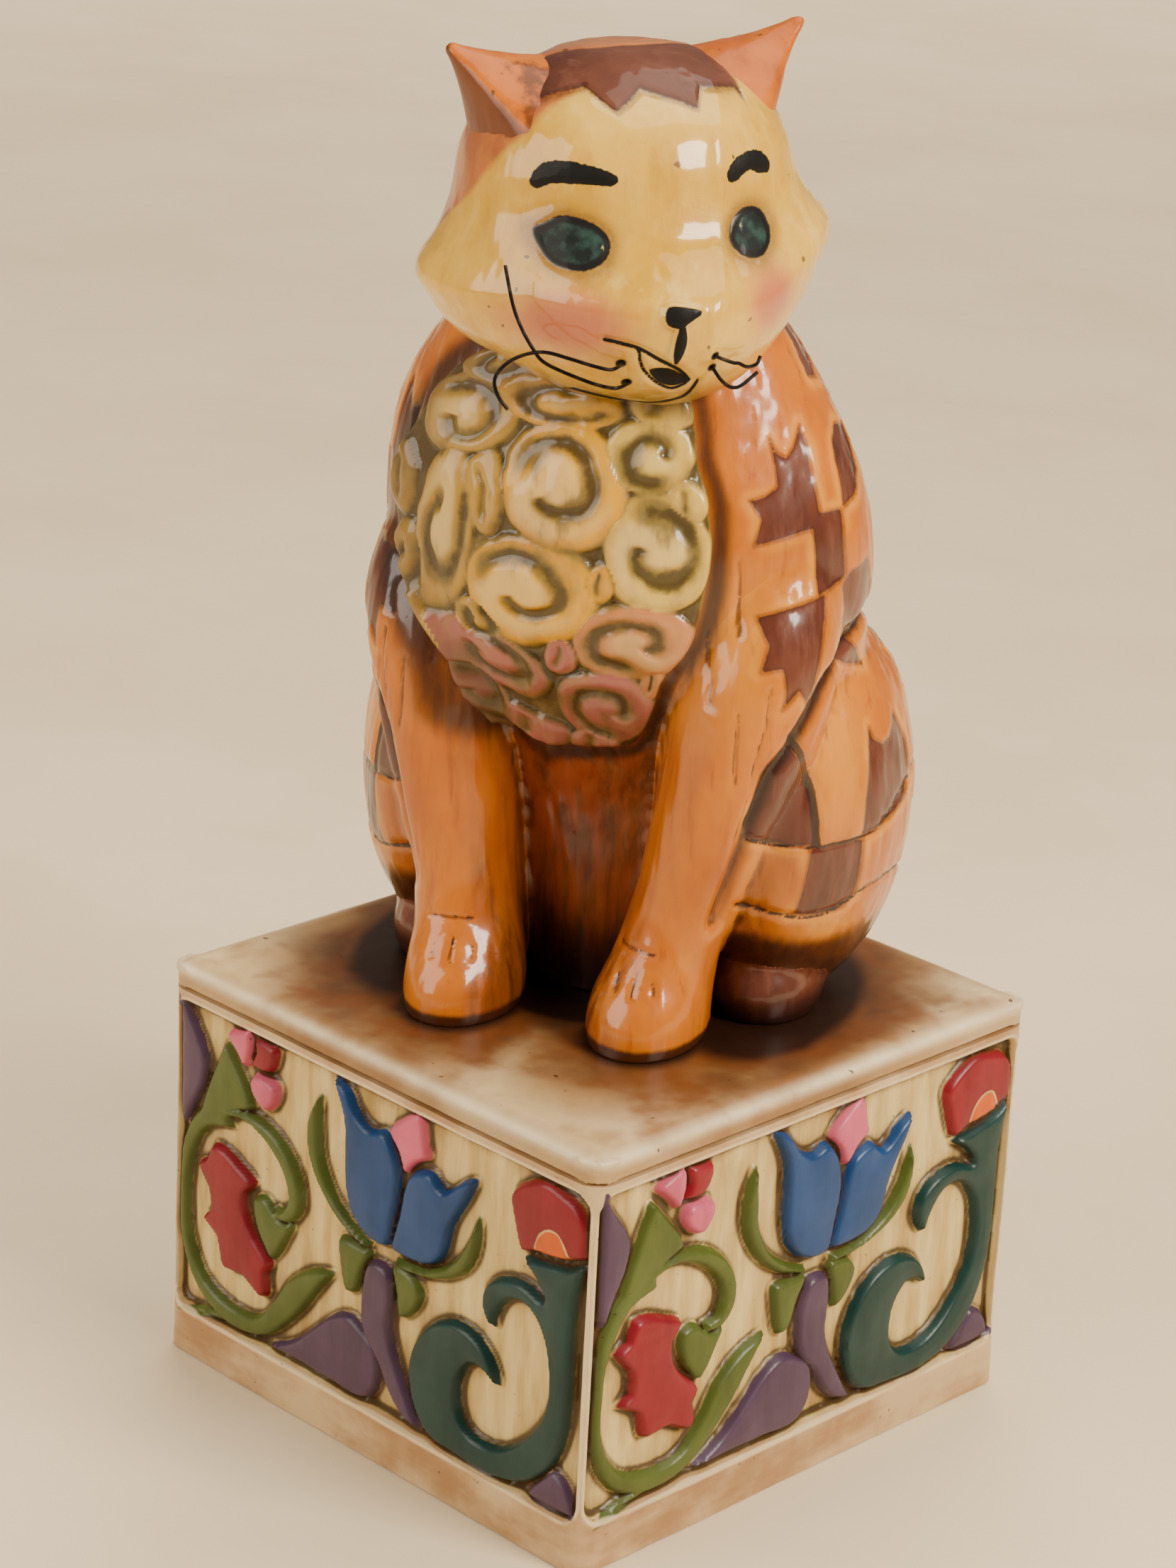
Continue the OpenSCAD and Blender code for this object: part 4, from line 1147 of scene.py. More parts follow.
def curlHeights(chart):
    spot = np.stack([chart[:, 0], chart[:, 1], 0 * chart[:, 0]], 1)
    chart = chart + 0.8 * np.stack([grainAt(spot, 5.6), grainAt(spot + 40, 5.6)], 1)
    chart = chart + 0.28 * np.stack([grainAt(spot + 9, 2.1), grainAt(spot + 70, 2.1)], 1)
    height = np.zeros(len(chart))
    shade = np.where(chart[:, 1] < 64, 1.0, 0.25)
    groove = np.zeros(len(chart))
    best = np.full(len(chart), 1e9)
    for x, z, wide, tall, lean, start, colour in ruff["curls"]:
        a = math.radians(lean)
        dx, dz = chart[:, 0] - x, chart[:, 1] - z
        wide, tall = wide * ruff["fullness"], tall * ruff["fullness"]
        u, v = (dx * math.cos(a) + dz * math.sin(a)) / wide, (dz * math.cos(a) - dx * math.sin(a)) / tall
        e = np.hypot(u, v)
        inside = e < best
        size = math.sqrt(wide * tall)
        mound = (np.maximum(1 - e ** 4, 0) ** 0.5 * (0.56 + 0.05 * min(size, 9))
                 + 0.12 * np.maximum(1 - e ** 2, 0))
        turn = (np.degrees(np.arctan2(v, u)) - start) % 360 / 360
        spiral = 0.30 + 0.42 * turn
        width = (0.9 + 0.6 * turn) / size + 0.04
        cut = (np.exp(-((e - spiral) / width) ** 2) * smoothSteps(turn, 0.0, 0.06)
               * (1 - smoothSteps(turn, 0.86, 0.98)))
        if min(wide, tall) < 3.8:
            cut = 0.75 * np.exp(-((u + 0.18) / 0.2) ** 2) * (1 - smoothSteps(np.abs(v), 0.35, 0.75))
        mound = mound - ruff["spiral"] / ruff["pillow"] * cut * (e < 1)
        height = np.where(inside, np.maximum(mound, 0), height)
        groove = np.where(inside, cut * (e < 1), groove)
        shade = np.where(inside, ruffShades[colour], shade)
        best = np.minimum(best, e)
    return height, groove, shade, best


# a grid laid on the chest by casting rays at the body, and pushed out into curls
def buildRuff():
    low, high = ruff["tall"]
    left, right = ruff["across"]
    columns, rows = int((right - left) / ruff["cell"]), int((high - low) / ruff["cell"])
    bpy.ops.mesh.primitive_grid_add(x_subdivisions=columns, y_subdivisions=rows, size=1)
    sheet = nameIt("chestRuff")
    flat = points(sheet) * mm
    chart = np.stack([left + (flat[:, 0] + 0.5) * (right - left),
                      low + (flat[:, 1] + 0.5) * (high - low)], 1)
    far = chestToCat(chart, 60.0)
    near = chestToCat(chart, 0.0)
    skin = BVHTree.FromObject(chestBlank, bpy.context.evaluated_depsgraph_get())
    reach = np.full(len(chart), 30.0)
    for i in range(len(chart)):
        hit = skin.ray_cast(Vector(far[i] * mm), Vector(near[i] - far[i]))
        if hit[0] is not None:
            reach[i] = 60.0 - hit[3] / mm
    grid = boxBlur(boxBlur(reach.reshape(rows + 1, -1), 4), 4)
    reach = grid.ravel()
    inside = insideDistance(chart, smoothLoop(ruff["outline"], 3))
    height, groove, shade, e = curlHeights(chart)
    body = smoothSteps(inside, -0.9, 1.6)
    push = -1.6 + body * (1.6 + ruff["thick"] + ruff["pillow"] * height)
    push -= 1.5 * smoothSteps(-inside, 0.6, 2.4)
    push += body * (0.2 * grainAt(far, (5, 5, 6)) + 0.14 * grainAt(far, (2.4, 2.4, 4)))
    crease = np.maximum(groove, smoothSteps(e, 0.84, 1.02)) * body
    crease = np.maximum(crease, 0.9 * np.exp(-((inside + 0.2) / 0.9) ** 2))
    setPoints(sheet, chestToCat(chart, reach + push))
    putOn(sheet, "crease", crease)
    putOn(sheet, "shade", shade)
    putOn(sheet, "rise", height)
    shadow = np.maximum(smoothSteps(-chart[:, 0], 15, 28) * 0.8, smoothSteps(chart[:, 1], 103, 110))
    shadow = np.maximum(shadow, smoothSteps(-chart[:, 1], -72, -58) * smoothSteps(-chart[:, 0], 9, 17))
    putOn(sheet, "shadow", np.maximum(shadow, 0.45 * smoothSteps(-chart[:, 1], -70, -56)))
    pick(sheet)
    bpy.ops.object.mode_set(mode="EDIT")
    bpy.context.tool_settings.mesh_select_mode = (True, False, False)
    bpy.ops.mesh.select_all(action="DESELECT")
    bpy.ops.object.mode_set(mode="OBJECT")
    sheet.data.vertices.foreach_set("select", inside < -2.2)       # what lies well outside the outline goes
    bpy.ops.object.mode_set(mode="EDIT")
    bpy.ops.mesh.delete(type="VERT")
    bpy.ops.object.mode_set(mode="OBJECT")
    kept = len(sheet.data.vertices)
    bpy.ops.object.mode_set(mode="EDIT")
    bpy.context.tool_settings.mesh_select_mode = (False, True, False)
    bpy.ops.mesh.select_all(action="DESELECT")
    bpy.ops.mesh.select_non_manifold()
    bpy.ops.mesh.extrude_region_move()
    bpy.ops.mesh.edge_face_add()
    bpy.ops.object.mode_set(mode="OBJECT")
    co = points(sheet)
    back = np.arange(len(co)) >= kept
    co[back, :2] *= 0.86
    setPoints(sheet, co)
    return faceOutward(sheet)


def paintRuff():
    paint = Paint("curledRuff")
    streak = paint.noise(300, 4, 0.6, stretch=(1, 1, 0.5))
    cloud = paint.noise(60, 4)
    fine = paint.noise(1300, 2)
    ramp = paint.add("ShaderNodeValToRGB", {"stops": [
        (0.0, tint(0.84, 0.64, 0.29)), (1.0, tint(0.61, 0.38, 0.35)), (0.25, tint(0.70, 0.56, 0.31)),
        (0.5, tint(0.84, 0.72, 0.43)), (0.75, tint(0.75, 0.52, 0.37))]}, {"Fac": paint.layer("shade")})
    colour = ramp.outputs[0]
    colour = paint.mix(cloud.over(0.42, 0.7) * 0.55, colour, tint(0.90, 0.80, 0.62), "MULTIPLY")
    colour = paint.mix(streak.over(0.4, 0.72) * 0.5, colour, tint(0.62, 0.50, 0.34))
    # a painted highlight on the tops of the curls
    top = (paint.layer("rise") + (cloud - 0.5) * 0.6).over(0.75, 1.1) * paint.layer("shade").over(0.95, 0.6)
    colour = paint.mix(top * 0.42, colour, tint(0.95, 0.86, 0.64))
    # painted shade down the sides of the curls
    slopeShade = (paint.layer("rise") * -1 + (cloud - 0.5) * 0.9 + (streak - 0.5) * 0.5).over(-0.78, -0.3)
    colour = paint.mix(slopeShade * 0.5, colour, tint(0.50, 0.42, 0.25))
    dabs = paint.noise(210, 3, 0.6, stretch=(1, 1, 0.35), turn=(0.5, 0.4, 0.3))
    # grey-olive painted shade about the grooves and creases
    creaseShade = (paint.layer("crease") + (cloud - 0.5) * 1.3 + (dabs - 0.5) * 1.5).over(0.05, 0.85)
    colour = paint.mix(creaseShade * 0.78, colour, tint(0.41, 0.36, 0.22))
    colour = paint.mix((dabs + (cloud - 0.5) * 0.5).over(0.6, 0.74) * 0.5, colour, tint(0.36, 0.29, 0.17))
    broken = paint.noise(170, 3)
    # dark in the grooves and creases: painted shade with a dark wash
    dark = (paint.layer("crease") * 0.95 + (broken - 0.5) * 1.5 + (fine - 0.5) * 0.3).over(0.5, 0.95)
    colour = paint.mix(dark * 0.72, colour, tint(0.17, 0.13, 0.08))
    shaded = (paint.layer("shadow") + (cloud - 0.5) * 0.5).over(0.1, 1.0)
    colour = paint.mix(shaded * 0.62, colour, tint(0.30, 0.24, 0.16))
    rough = streak * 0.25 + 0.32
    return paint.finish(colour, rough, streak * 0.6 + fine * 0.3, 0.3, 0.0003, coat=0.6, coatRough=0.16)


chestRuff = buildRuff()
wear(chestRuff, paintRuff())
bpy.data.objects.remove(chestBlank)
print("the ruff is curled:", len(chestRuff.data.polygons), "faces")


# the head; rows give height, half width, reach forward, reach back and squareness, in the head's own frame
skull = {
    "rows": [
        [-23, 9, 16, 4, 2.0], [-21.5, 14.5, 24, 9, 2.0], [-18, 20, 30, 15, 1.95],
        [-12, 26.4, 35, 20.5, 1.8], [-8, 29.8, 36.8, 23.5, 1.7], [-4, 32, 37, 25.5, 1.68],
        [-1.5, 33.4, 35, 26.5, 1.72], [1, 32.8, 32.2, 27, 1.8], [5, 29.6, 28.4, 27, 1.95],
        [10, 27, 26.8, 27, 2.1], [16, 25.4, 25.8, 25.6, 2.2], [21.5, 22.6, 23, 22.5, 2.2],
        [26, 17.4, 17.4, 17.2, 2.1], [29.4, 10, 10, 10.4, 2.0], [30.6, 3, 3, 3.4, 2.0]],
    "voxel": 0.5,
    "softening": 8,
}
# what is painted and cut on the face, seen from straight ahead: across towards the cat's left, and height
face = {
    "eyes": [
        [[-19.7, 6.4], [-18.4, 7.4], [-16.5, 8.6], [-14.5, 8.7], [-12.1, 7.9], [-10.4, 6.6], [-9.8, 5],
        [-10.7, 3.3], [-12.3, 2.2], [-14.8, 1.6], [-17.8, 2.2], [-19.1, 4]],
        [[9.5, 4.1], [10.2, 6.7], [12.1, 8.3], [14.2, 8.2], [15.8, 7.1], [16.8, 4.5], [15.9, 2.6],
        [13.9, 1.7], [11.3, 2.2]]],
    "glints": [(-10.9, 4.6, 0.5, 1.0), (11.4, 6.2, 0.5, 0.7)],
    "brows": [
        [[-19.4, 13.9], [-18, 16], [-15.6, 16.8], [-11.4, 16.1], [-8.5, 14.9], [-9.1, 14.1],
        [-13.1, 14.3], [-16.9, 14.2], [-19, 13.2]],
        [[9.8, 14.1], [11.6, 15.9], [14.6, 16.5], [16.8, 15.3], [17.4, 13.5], [15.4, 13.7], [13.4, 14.5],
        [10.6, 13.1]]],
    "nose": [[-3.7, -2.8], [-1.2, -2.7], [1.9, -3.7], [0.4, -4.8], [-2.1, -6], [-4, -5.1]],
    "philtrum": [(-1.5, -5.6, 0.5), (-1.6, -7.9, 0.95), (-1.9, -10.4, 0.8), (-2.1, -12.2, 0.25)],
    "mouth": [[-12, -8.4], [-9.6, -8.9], [-7.2, -9.6], [-4.3, -11.4], [-0.9, -13.5], [1.2, -15.7]],
    "lip": [
        [-7.3, -10], [-6.6, -12.5], [-5.4, -14.3], [-3.7, -15.9], [-1.3, -17.2], [0.6, -16.5],
        [1.2, -15.6]],
    "gap": [[-5.2, -13.4], [-2.6, -13.2], [0.6, -15.2], [0.9, -16], [-1, -16.6], [-3.4, -15.8]],
    "chin": [
        [2.7, -16.1], [1.8, -19.3], [-1, -20.6], [-3.6, -21.2], [-7, -21], [-10.2, -20.5], [-13.2, -20]],
    "zigzag": [
        [-21.5, 19.6], [-19.7, 22], [-17.7, 24], [-15.8, 24.6], [-13.7, 25.5], [-9.6, 26.4], [-8.6, 25.4],
        [-6.5, 23.6], [-4.1, 24.9], [-1.9, 26.3], [0.5, 25.5], [3.6, 24.5], [6.2, 23.4], [7.9, 25.8],
        [11, 25.4], [14.3, 24.7], [15.9, 22.5], [19, 20.5]],
    "crownBack": -1.5,
    "blush": [(-17.0, -6.6, 9.8, 6.6), (15.5, -4.6, 6.6, 6.6)],
    "pegHoles": [(-9.5, -12.3), (-8.1, -15.9), (4.3, -11.3), (4.4, -13.6)],
    "fold": [[10.1, 25.1], [8.3, 19], [8, 12.8], [7.6, 6.6], [6.6, 1.1], [4.3, -4.1], [3.3, -11]],
}
ears = {
    "Left": {"tip": (29.6, -1.0, 32.8), "foot": [(18.0, -15.6, 19.0), (9.5, -6, 27.0), (9.5, 7, 27.0),
        (20.5, 8, 18.5), (22.2, -3, 15.5)]},
    "Right": {"tip": (-28.2, -0.5, 31.9), "foot": [(-17.8, -16.8, 19.0), (-9.5, -5, 27.5), (-9.5, 8,
        27.0), (-21.0, 9, 18.5), (-24.0, -2, 16)]},
    "hollow": 1.15, "blunt": 0.1,
}


# a ball whose points go where place sends their turn about the axis and their rise from 0 to 1
def ballTo(name, segments, rings, place):
    bpy.ops.mesh.primitive_uv_sphere_add(segments=segments, ring_count=rings, radius=1)
    ball = nameIt(name)
    co = points(ball) * mm
    around = np.arctan2(-co[:, 1], co[:, 0])
    rise = np.arcsin(np.clip(co[:, 2], -1, 1)) / math.pi + 0.5
    setPoints(ball, place(around, rise))
    return faceOutward(ball)


def skullAt(around, rise):
    table = smoothLine(skull["rows"], 6)
    h = table[0, 0] + (table[-1, 0] - table[0, 0]) * rise
    wide, front, rear, square = (np.interp(h, table[:, 0], table[:, k]) for k in (1, 2, 3, 4))
    power = np.where(np.sin(around) > 0, 2 / square, 1.0)
    tip = np.clip((0.5 - np.abs(rise - 0.5)) / 0.015, 0, 1)
    s = wide * np.sign(np.cos(around)) * np.abs(np.cos(around)) ** power * tip
    f = (np.where(np.sin(around) > 0, front, rear)
         * np.sign(np.sin(around)) * np.abs(np.sin(around)) ** power * tip)
    return np.stack([s, -f, h], 1)


def faceDesign(p):
    chart = p[:, [0, 2]]
    ahead = p[:, 1] < 0
    far = np.full(len(p), farInside)
    paints = {name: far.copy() for name in ("eye", "brow", "nose", "line", "gap", "cap", "glint")}
    for name, key in (("eye", "eyes"), ("brow", "brows")):
        for outline in face[key]:
            paints[name] = np.maximum(paints[name], insideDistance(chart, smoothLoop(outline)))
    paints["nose"] = insideDistance(chart, smoothLoop(face["nose"], 5))
    paints["gap"] = insideDistance(chart, smoothLoop(face["gap"], 3))
    for half, key in ((0.34, "mouth"), (0.3, "lip"), (0.36, "chin")):
        paints["line"] = np.maximum(paints["line"], half - lineDistance(chart, smoothLine(face[key])))
    paints["nose"] = np.maximum(paints["nose"], insideDistance(chart, stemOutline(face["philtrum"], 4)))
    for x, h, wide, tall in face["glints"]:
        shine = 0.6 - np.hypot((chart[:, 0] - x) / wide, (chart[:, 1] - h) / tall)
        paints["glint"] = np.maximum(paints["glint"], shine)
    for name in paints:
        paints[name] = np.where(ahead, paints[name], farInside)
    front = np.array(face["zigzag"])
    edge = np.interp(chart[:, 0], front[:, 0], front[:, 1])
    above = (chart[:, 1] - edge) * 0.6
    side = np.minimum(chart[:, 0] + 21.5, 15.2 - chart[:, 0])
    paints["cap"] = np.minimum(np.minimum(above, side),
                               -(p[:, 1] - face["crownBack"] - 0.35 * chart[:, 0] ** 2 / 20))
    return paints


def sculptHead(head):
    co, out = points(head), normals(head)
    droop = smoothSteps(np.abs(co[:, 0]), 16, 31) * (1 - smoothSteps(np.abs(co[:, 2] + 2), 9, 20))
    co[:, 2] += np.where(co[:, 0] < 0, -3.2, 1.4) * droop
    paints = faceDesign(co)
    fold = lineDistance(co[:, [0, 2]], smoothLine(face["fold"], 3))
    lift = 0.3 * grainAt(co, (11, 11, 11)) + 0.07 * grainAt(co, (1.6, 1.6, 6))
    lift += 0.5 * np.exp(-(fold / 1.5) ** 2) * (co[:, 1] < 0)
    eye = paints["eye"]
    lift += 0.3 * smoothSteps(eye, 0.2, 2.8) - 0.28 * np.exp(-((eye + 0.1) / 0.7) ** 2)
    lift -= 0.3 * np.exp(-((eye + 2.2) / 2.0) ** 2)
    lift += 0.8 * smoothSteps(paints["nose"], -0.5, 0.5)
    lift -= 0.5 * smoothSteps(paints["line"], -0.7, 0.2) + 0.9 * smoothSteps(paints["gap"], -0.4, 0.6)
    lift += 0.18 * smoothSteps(paints["brow"], -0.2, 0.3)
    lift -= 0.25 * np.exp(-((paints["cap"]) / 0.4) ** 2)
    setPoints(head, co + out * lift[:, None])


def markHead(obj):
    co = points(obj)
    paints = faceDesign(co)
    chart = co[:, [0, 2]]
    for name, values in paints.items():
        putOn(obj, name, values)
    blush = np.zeros(len(co))
    for x, h, wide, tall in face["blush"]:
        cheek = np.exp(-((chart[:, 0] - x) / wide) ** 2 - ((chart[:, 1] - h) / tall) ** 2)
        blush = np.maximum(blush, cheek)
    smudge = np.exp(-(np.minimum(paints["eye"] + 0.4, 0) / 1.6) ** 2)
    holes = np.zeros(len(co))
    for x, h in face["pegHoles"]:
        holes = np.maximum(holes, 1.3 - np.hypot(chart[:, 0] - x, chart[:, 1] - h))
    ahead = co[:, 1] < 0
    hairline = np.interp(chart[:, 1], [-20, 0, 5, 7.8, 10.7, 14.1, 17.5, 20],
                         [16, 9, 2, -3, -6, -9.8, -12.2, -13.7])
    hairline += np.where(chart[:, 0] > 0, 11 * smoothSteps(chart[:, 1], 2, 12), 0)
    putOn(obj, "blush", blush * ahead)
    putOn(obj, "smudge", smudge * ahead)
    putOn(obj, "hole", np.where(ahead, holes, -1))
    putOn(obj, "side", co[:, 1] - hairline)
    # painted shade under the chin and on the throat
    under = smoothSteps(-chart[:, 1], 15, 20)
    throat = smoothSteps(-chart[:, 1], 10, 18) * smoothSteps(co[:, 1], -14, 2)
    putOn(obj, "under", np.maximum(under, throat))


def paintHead():
    paint = Paint("goldFace")
    streak = paint.noise(240, 4, 0.62, stretch=(1, 1, 0.22))
    cloud = paint.noise(46, 4, 0.6)
    fine = paint.noise(1400, 2)
    speck = paint.noise(330, 1)
    colour = paint.mix(cloud.over(0.34, 0.68), tint(0.89, 0.73, 0.42), tint(0.80, 0.62, 0.29))
    colour = paint.mix(streak.over(0.5, 0.76) * 0.45, colour, tint(0.72, 0.53, 0.25))
    colour = paint.mix(streak.over(0.5, 0.25) * 0.4, colour, tint(0.93, 0.83, 0.58))
    colour = paint.mix((paint.layer("blush") + (cloud - 0.5) * 0.4).over(0.15, 0.95) * 0.85, colour,
                       tint(0.73, 0.41, 0.35))
    side = (paint.layer("side") + (cloud - 0.5) * 5).over(-1.2, 1.2)
    back = paint.mix(cloud.over(0.35, 0.7), tint(0.76, 0.49, 0.31), tint(0.64, 0.38, 0.25))
    back = paint.mix(streak.over(0.5, 0.75) * 0.5, back, tint(0.52, 0.28, 0.18))
    colour = paint.mix(side, colour, back)
    rust = paint.mix(cloud.over(0.35, 0.7), tint(0.39, 0.235, 0.185), tint(0.28, 0.15, 0.12))
    rust = paint.mix(streak.over(0.5, 0.75) * 0.4, rust, tint(0.50, 0.33, 0.27))
    colour = paint.mix((paint.layer("cap") + (fine - 0.5) * 0.3).over(-0.1, 0.15), colour, rust)
    colour = paint.mix(paint.layer("cap").size().over(0.5, 0.1) * (fine * 0.7 + 0.2), colour,
                       tint(0.17, 0.08, 0.05))
    colour = paint.mix(paint.layer("smudge") * (fine * 0.4 + 0.45), colour, tint(0.42, 0.28, 0.18))
    # darker in the hollows: painted shade with an antiquing wash
    colour = paint.mix((paint.layer("cavity") * 3.2 + (fine - 0.5) * 0.3).over(0.15, 1.0) * 0.6, colour,
                       tint(0.34, 0.20, 0.09))
    # painted shade under the chin and on the throat
    colour = paint.mix(paint.layer("under") * (cloud * 0.5 + 0.45), colour, tint(0.30, 0.19, 0.09))
    colour = paint.mix(speck.over(0.77, 0.785) * 0.75, colour, tint(0.25, 0.13, 0.06))
    colour = paint.mix((paint.layer("eye") + (fine - 0.5) * 0.25).over(-0.42, -0.1), colour,
                       tint(0.055, 0.045, 0.05))
    iris = paint.mix(paint.noise(420, 3).over(0.38, 0.68), tint(0.06, 0.09, 0.085), tint(0.17, 0.25, 0.23))
    colour = paint.mix((paint.layer("eye") + (streak - 0.5) * 0.8).over(0.5, 1.05), colour, iris)
    colour = paint.mix(paint.layer("glint").over(0.0, 0.3) * 0.75, colour, tint(0.72, 0.70, 0.52))
    dark = (paint.layer("brow") + (fine - 0.5) * 0.5).over(-0.55, -0.35)
    dark = dark.most((paint.layer("nose") + (fine - 0.5) * 0.1).over(-0.03, 0.12))
    dark = dark.most(paint.layer("gap").over(-0.25, 0.0)).most(paint.layer("line").over(-0.05, 0.1))
    dark = dark.most(paint.layer("hole").over(0.35, 0.7))
    colour = paint.mix(dark, colour, tint(0.035, 0.03, 0.03))
    matte = dark.most(paint.layer("eye").over(-0.4, 0.2)).most(paint.layer("cap").over(0.0, 0.3) * 0.6)
    return paint.finish(colour, streak * 0.2 + 0.24 + matte * 0.3,
                        streak * 0.5 + fine * 0.2 + cloud * 0.9, 0.32, 0.0005,
                        coat=0.8 - matte * 0.72, coatRough=0.09)


def buildEar(side):
    ear = ears[side]
    foot = smoothLoop(ear["foot"], 6)
    tip = np.array(ear["tip"], float)
    middle = foot.mean(0)
    loop = np.vstack([foot, foot[:1]])
    along = np.concatenate([[0], np.cumsum(np.linalg.norm(np.diff(loop, axis=0), axis=1))])
    along /= along[-1]

    def place(around, rise):
        where = (around / (2 * math.pi)) % 1.0
        ring = np.stack([np.interp(where, along, loop[:, k]) for k in range(3)], 1)
        shrink = (1 - np.clip((rise - 0.06) / 0.94, 0, 1)) ** ears["hollow"]
        blunt = np.sqrt(np.clip((1 - rise) / 0.05, 0, 1))
        shrink = np.hypot(shrink, ears["blunt"]) * np.where(rise > 0.95, blunt, 1)
        bottom = np.clip(rise / 0.06, 0, 1)
        axis = middle + (tip - middle) * np.clip((rise - 0.06) / 0.94, 0, 1)[:, None]
        return axis + (ring - middle) * (shrink * bottom)[:, None]

    piece = ballTo("ear" + side, 72, 60, place)
    useModifier(piece, "REMESH", mode="VOXEL", voxel_size=0.5 * mm)
    relax(piece, 5)
    co, out = points(piece), normals(piece)
    marks = 0.22 * grainAt(co, (5, 5, 7)) + 0.06 * grainAt(co, (1.3, 1.3, 4))
    setPoints(piece, co + out * marks[:, None])
    co = points(piece)
    # the outer back face, which the paint makes dark brown: brown paint and painted shade
    outer = smoothSteps(out[:, 0] * np.sign(tip[0]) + 0.55 * out[:, 1], 0.05, 0.5)
    rise = (co[:, 2] - 18) / 13
    putOn(piece, "outer", outer if side == "Right" else outer * 0.15)
    # the ear's foot where it meets the head, which the paint darkens
    foot = smoothSteps(-np.abs(co[:, 0]), -24.5, -16.5) * smoothSteps(-out[:, 1], 0.0, 0.5)
    putOn(piece, "smudge", foot if side == "Right" else foot * 0.3)
    putOn(piece, "rise", rise)
    return piece


def paintEar():
    paint = Paint("orangeEar")
    streak = paint.noise(260, 4, 0.6, stretch=(1, 1, 0.3))
    cloud = paint.noise(90, 4)
    fine = paint.noise(1400, 2)
    colour = paint.mix(cloud.over(0.35, 0.7), tint(0.76, 0.44, 0.18), tint(0.66, 0.35, 0.12))
    colour = paint.mix(streak.over(0.52, 0.75) * 0.5, colour, tint(0.50, 0.25, 0.11))
    # dark brown on the outer face: brown paint and painted shade
    colour = paint.mix(paint.layer("outer") * 0.85, colour, tint(0.33, 0.19, 0.14))
    scratch = paint.noise(300, 3, 0.65, stretch=(1, 1, 0.5), turn=(0, 0.5, 0))
    # darker at the ear's foot: painted shade with a smudge of dark wash
    wash = (paint.layer("smudge") + (cloud - 0.5) * 1.4 + (scratch - 0.5) * 2.4).over(0.45, 1.15)
    colour = paint.mix(wash * 0.75, colour, tint(0.24, 0.14, 0.09))
    colour = paint.mix(paint.noise(420, 1).over(0.72, 0.75) * 0.7, colour, tint(0.2, 0.1, 0.06))
    return paint.finish(colour, streak * 0.25 + 0.34, streak * 0.6 + fine * 0.2, 0.3, 0.0003, coat=0.35,
                        coatRough=0.16)


def buildTail():
    path = np.array(tail["path"], float)
    rows = smoothLine(path, 8)
    along = np.concatenate([[0], np.cumsum(np.linalg.norm(np.diff(rows[:, :3], axis=0), axis=1))])
    total = along[-1]

    def place(around, rise):
        way = np.clip((rise - 0.04) / 0.92, 0, 1) * total
        middle = np.stack([np.interp(way, along, rows[:, k]) for k in range(3)], 1)
        ahead = np.stack([np.interp(np.minimum(way + 0.8, total), along, rows[:, k]) for k in range(3)], 1)
        behind = np.stack([np.interp(np.maximum(way - 0.8, 0), along, rows[:, k]) for k in range(3)], 1)
        run = ahead - behind
        run /= np.linalg.norm(run, axis=1)[:, None]
        side = np.cross(run, [0, 0, 1])
        side /= np.linalg.norm(side, axis=1)[:, None]
        up = np.cross(side, run)
        end = np.sqrt(np.clip(1 - (1 - np.clip(np.minimum(rise, 1 - rise) / 0.04, 0, 1)) ** 2, 0, 1))
        radius = np.interp(way, along, rows[:, 3]) * end
        cap = (np.clip(rise - 0.96, 0, 1) / 0.04 * rows[-1, 3] * 0.9)[:, None] * run
        ring = side * np.cos(around)[:, None] + up * np.sin(around)[:, None]
        return middle + cap + ring * radius[:, None]

    piece = ballTo("tailCarving", 64, 120, place)
    co, out = points(piece), normals(piece)
    nearest = ((co[:, None, :] - rows[None, :, :3]) ** 2).sum(2).argmin(1)
    way = along[nearest]
    band = np.abs((way + 3) % 15 - 7.5) - 4.2
    lift = (0.25 * grainAt(co, (6, 6, 6)) + 0.1 * grainAt(co, (1.6, 1.6, 1.6))
            - 0.3 * np.exp(-(band / 0.5) ** 2))
    co = co + out * lift[:, None]
    co[:, 2] = np.maximum(co[:, 2], 0.0)
    setPoints(piece, co)
    # the stripes are the tail's paint; where it lies on the plinth it gets a painted contact shadow
    for name, values in (("patch", band), ("line", 0 * way + farInside),
                         ("wash", 1.1 * (1 - smoothSteps(co[:, 2], 0.5, 4.5))),
                         ("belly", 0 * way), ("red", 0 * way), ("glow", 0 * way), ("cavity", 0 * way)):
        putOn(piece, name, values)
    return piece


tail = {"path": [
    [1, 36, 9, 6.4], [-1, 45, 8, 6.4], [-8, 51, 6.6, 6.2], [-17, 52.5, 6, 6], [-25, 49.5, 5.6, 5.4],
    [-30, 43.5, 5, 4.4], [-31.5, 38, 4, 2.6]]}

carvedHead = ballTo("headForm", 96, 72, skullAt)
useModifier(carvedHead, "REMESH", mode="VOXEL", voxel_size=skull["voxel"] * mm)
relax(carvedHead, skull["softening"])
carvedHead.name = "headCarving"
sculptHead(carvedHead)
putOn(carvedHead, "cavity", cavityOf(carvedHead, 8))
markHead(carvedHead)
wear(carvedHead, paintHead())
earPaint = paintEar()
earPieces = {}
for side in ("Left", "Right"):
    earPieces[side] = buildEar(side)
    wear(earPieces[side], earPaint)
tailPiece = buildTail()
wear(tailPiece, bodyPaint)
print("the head, ears and tail are carved")

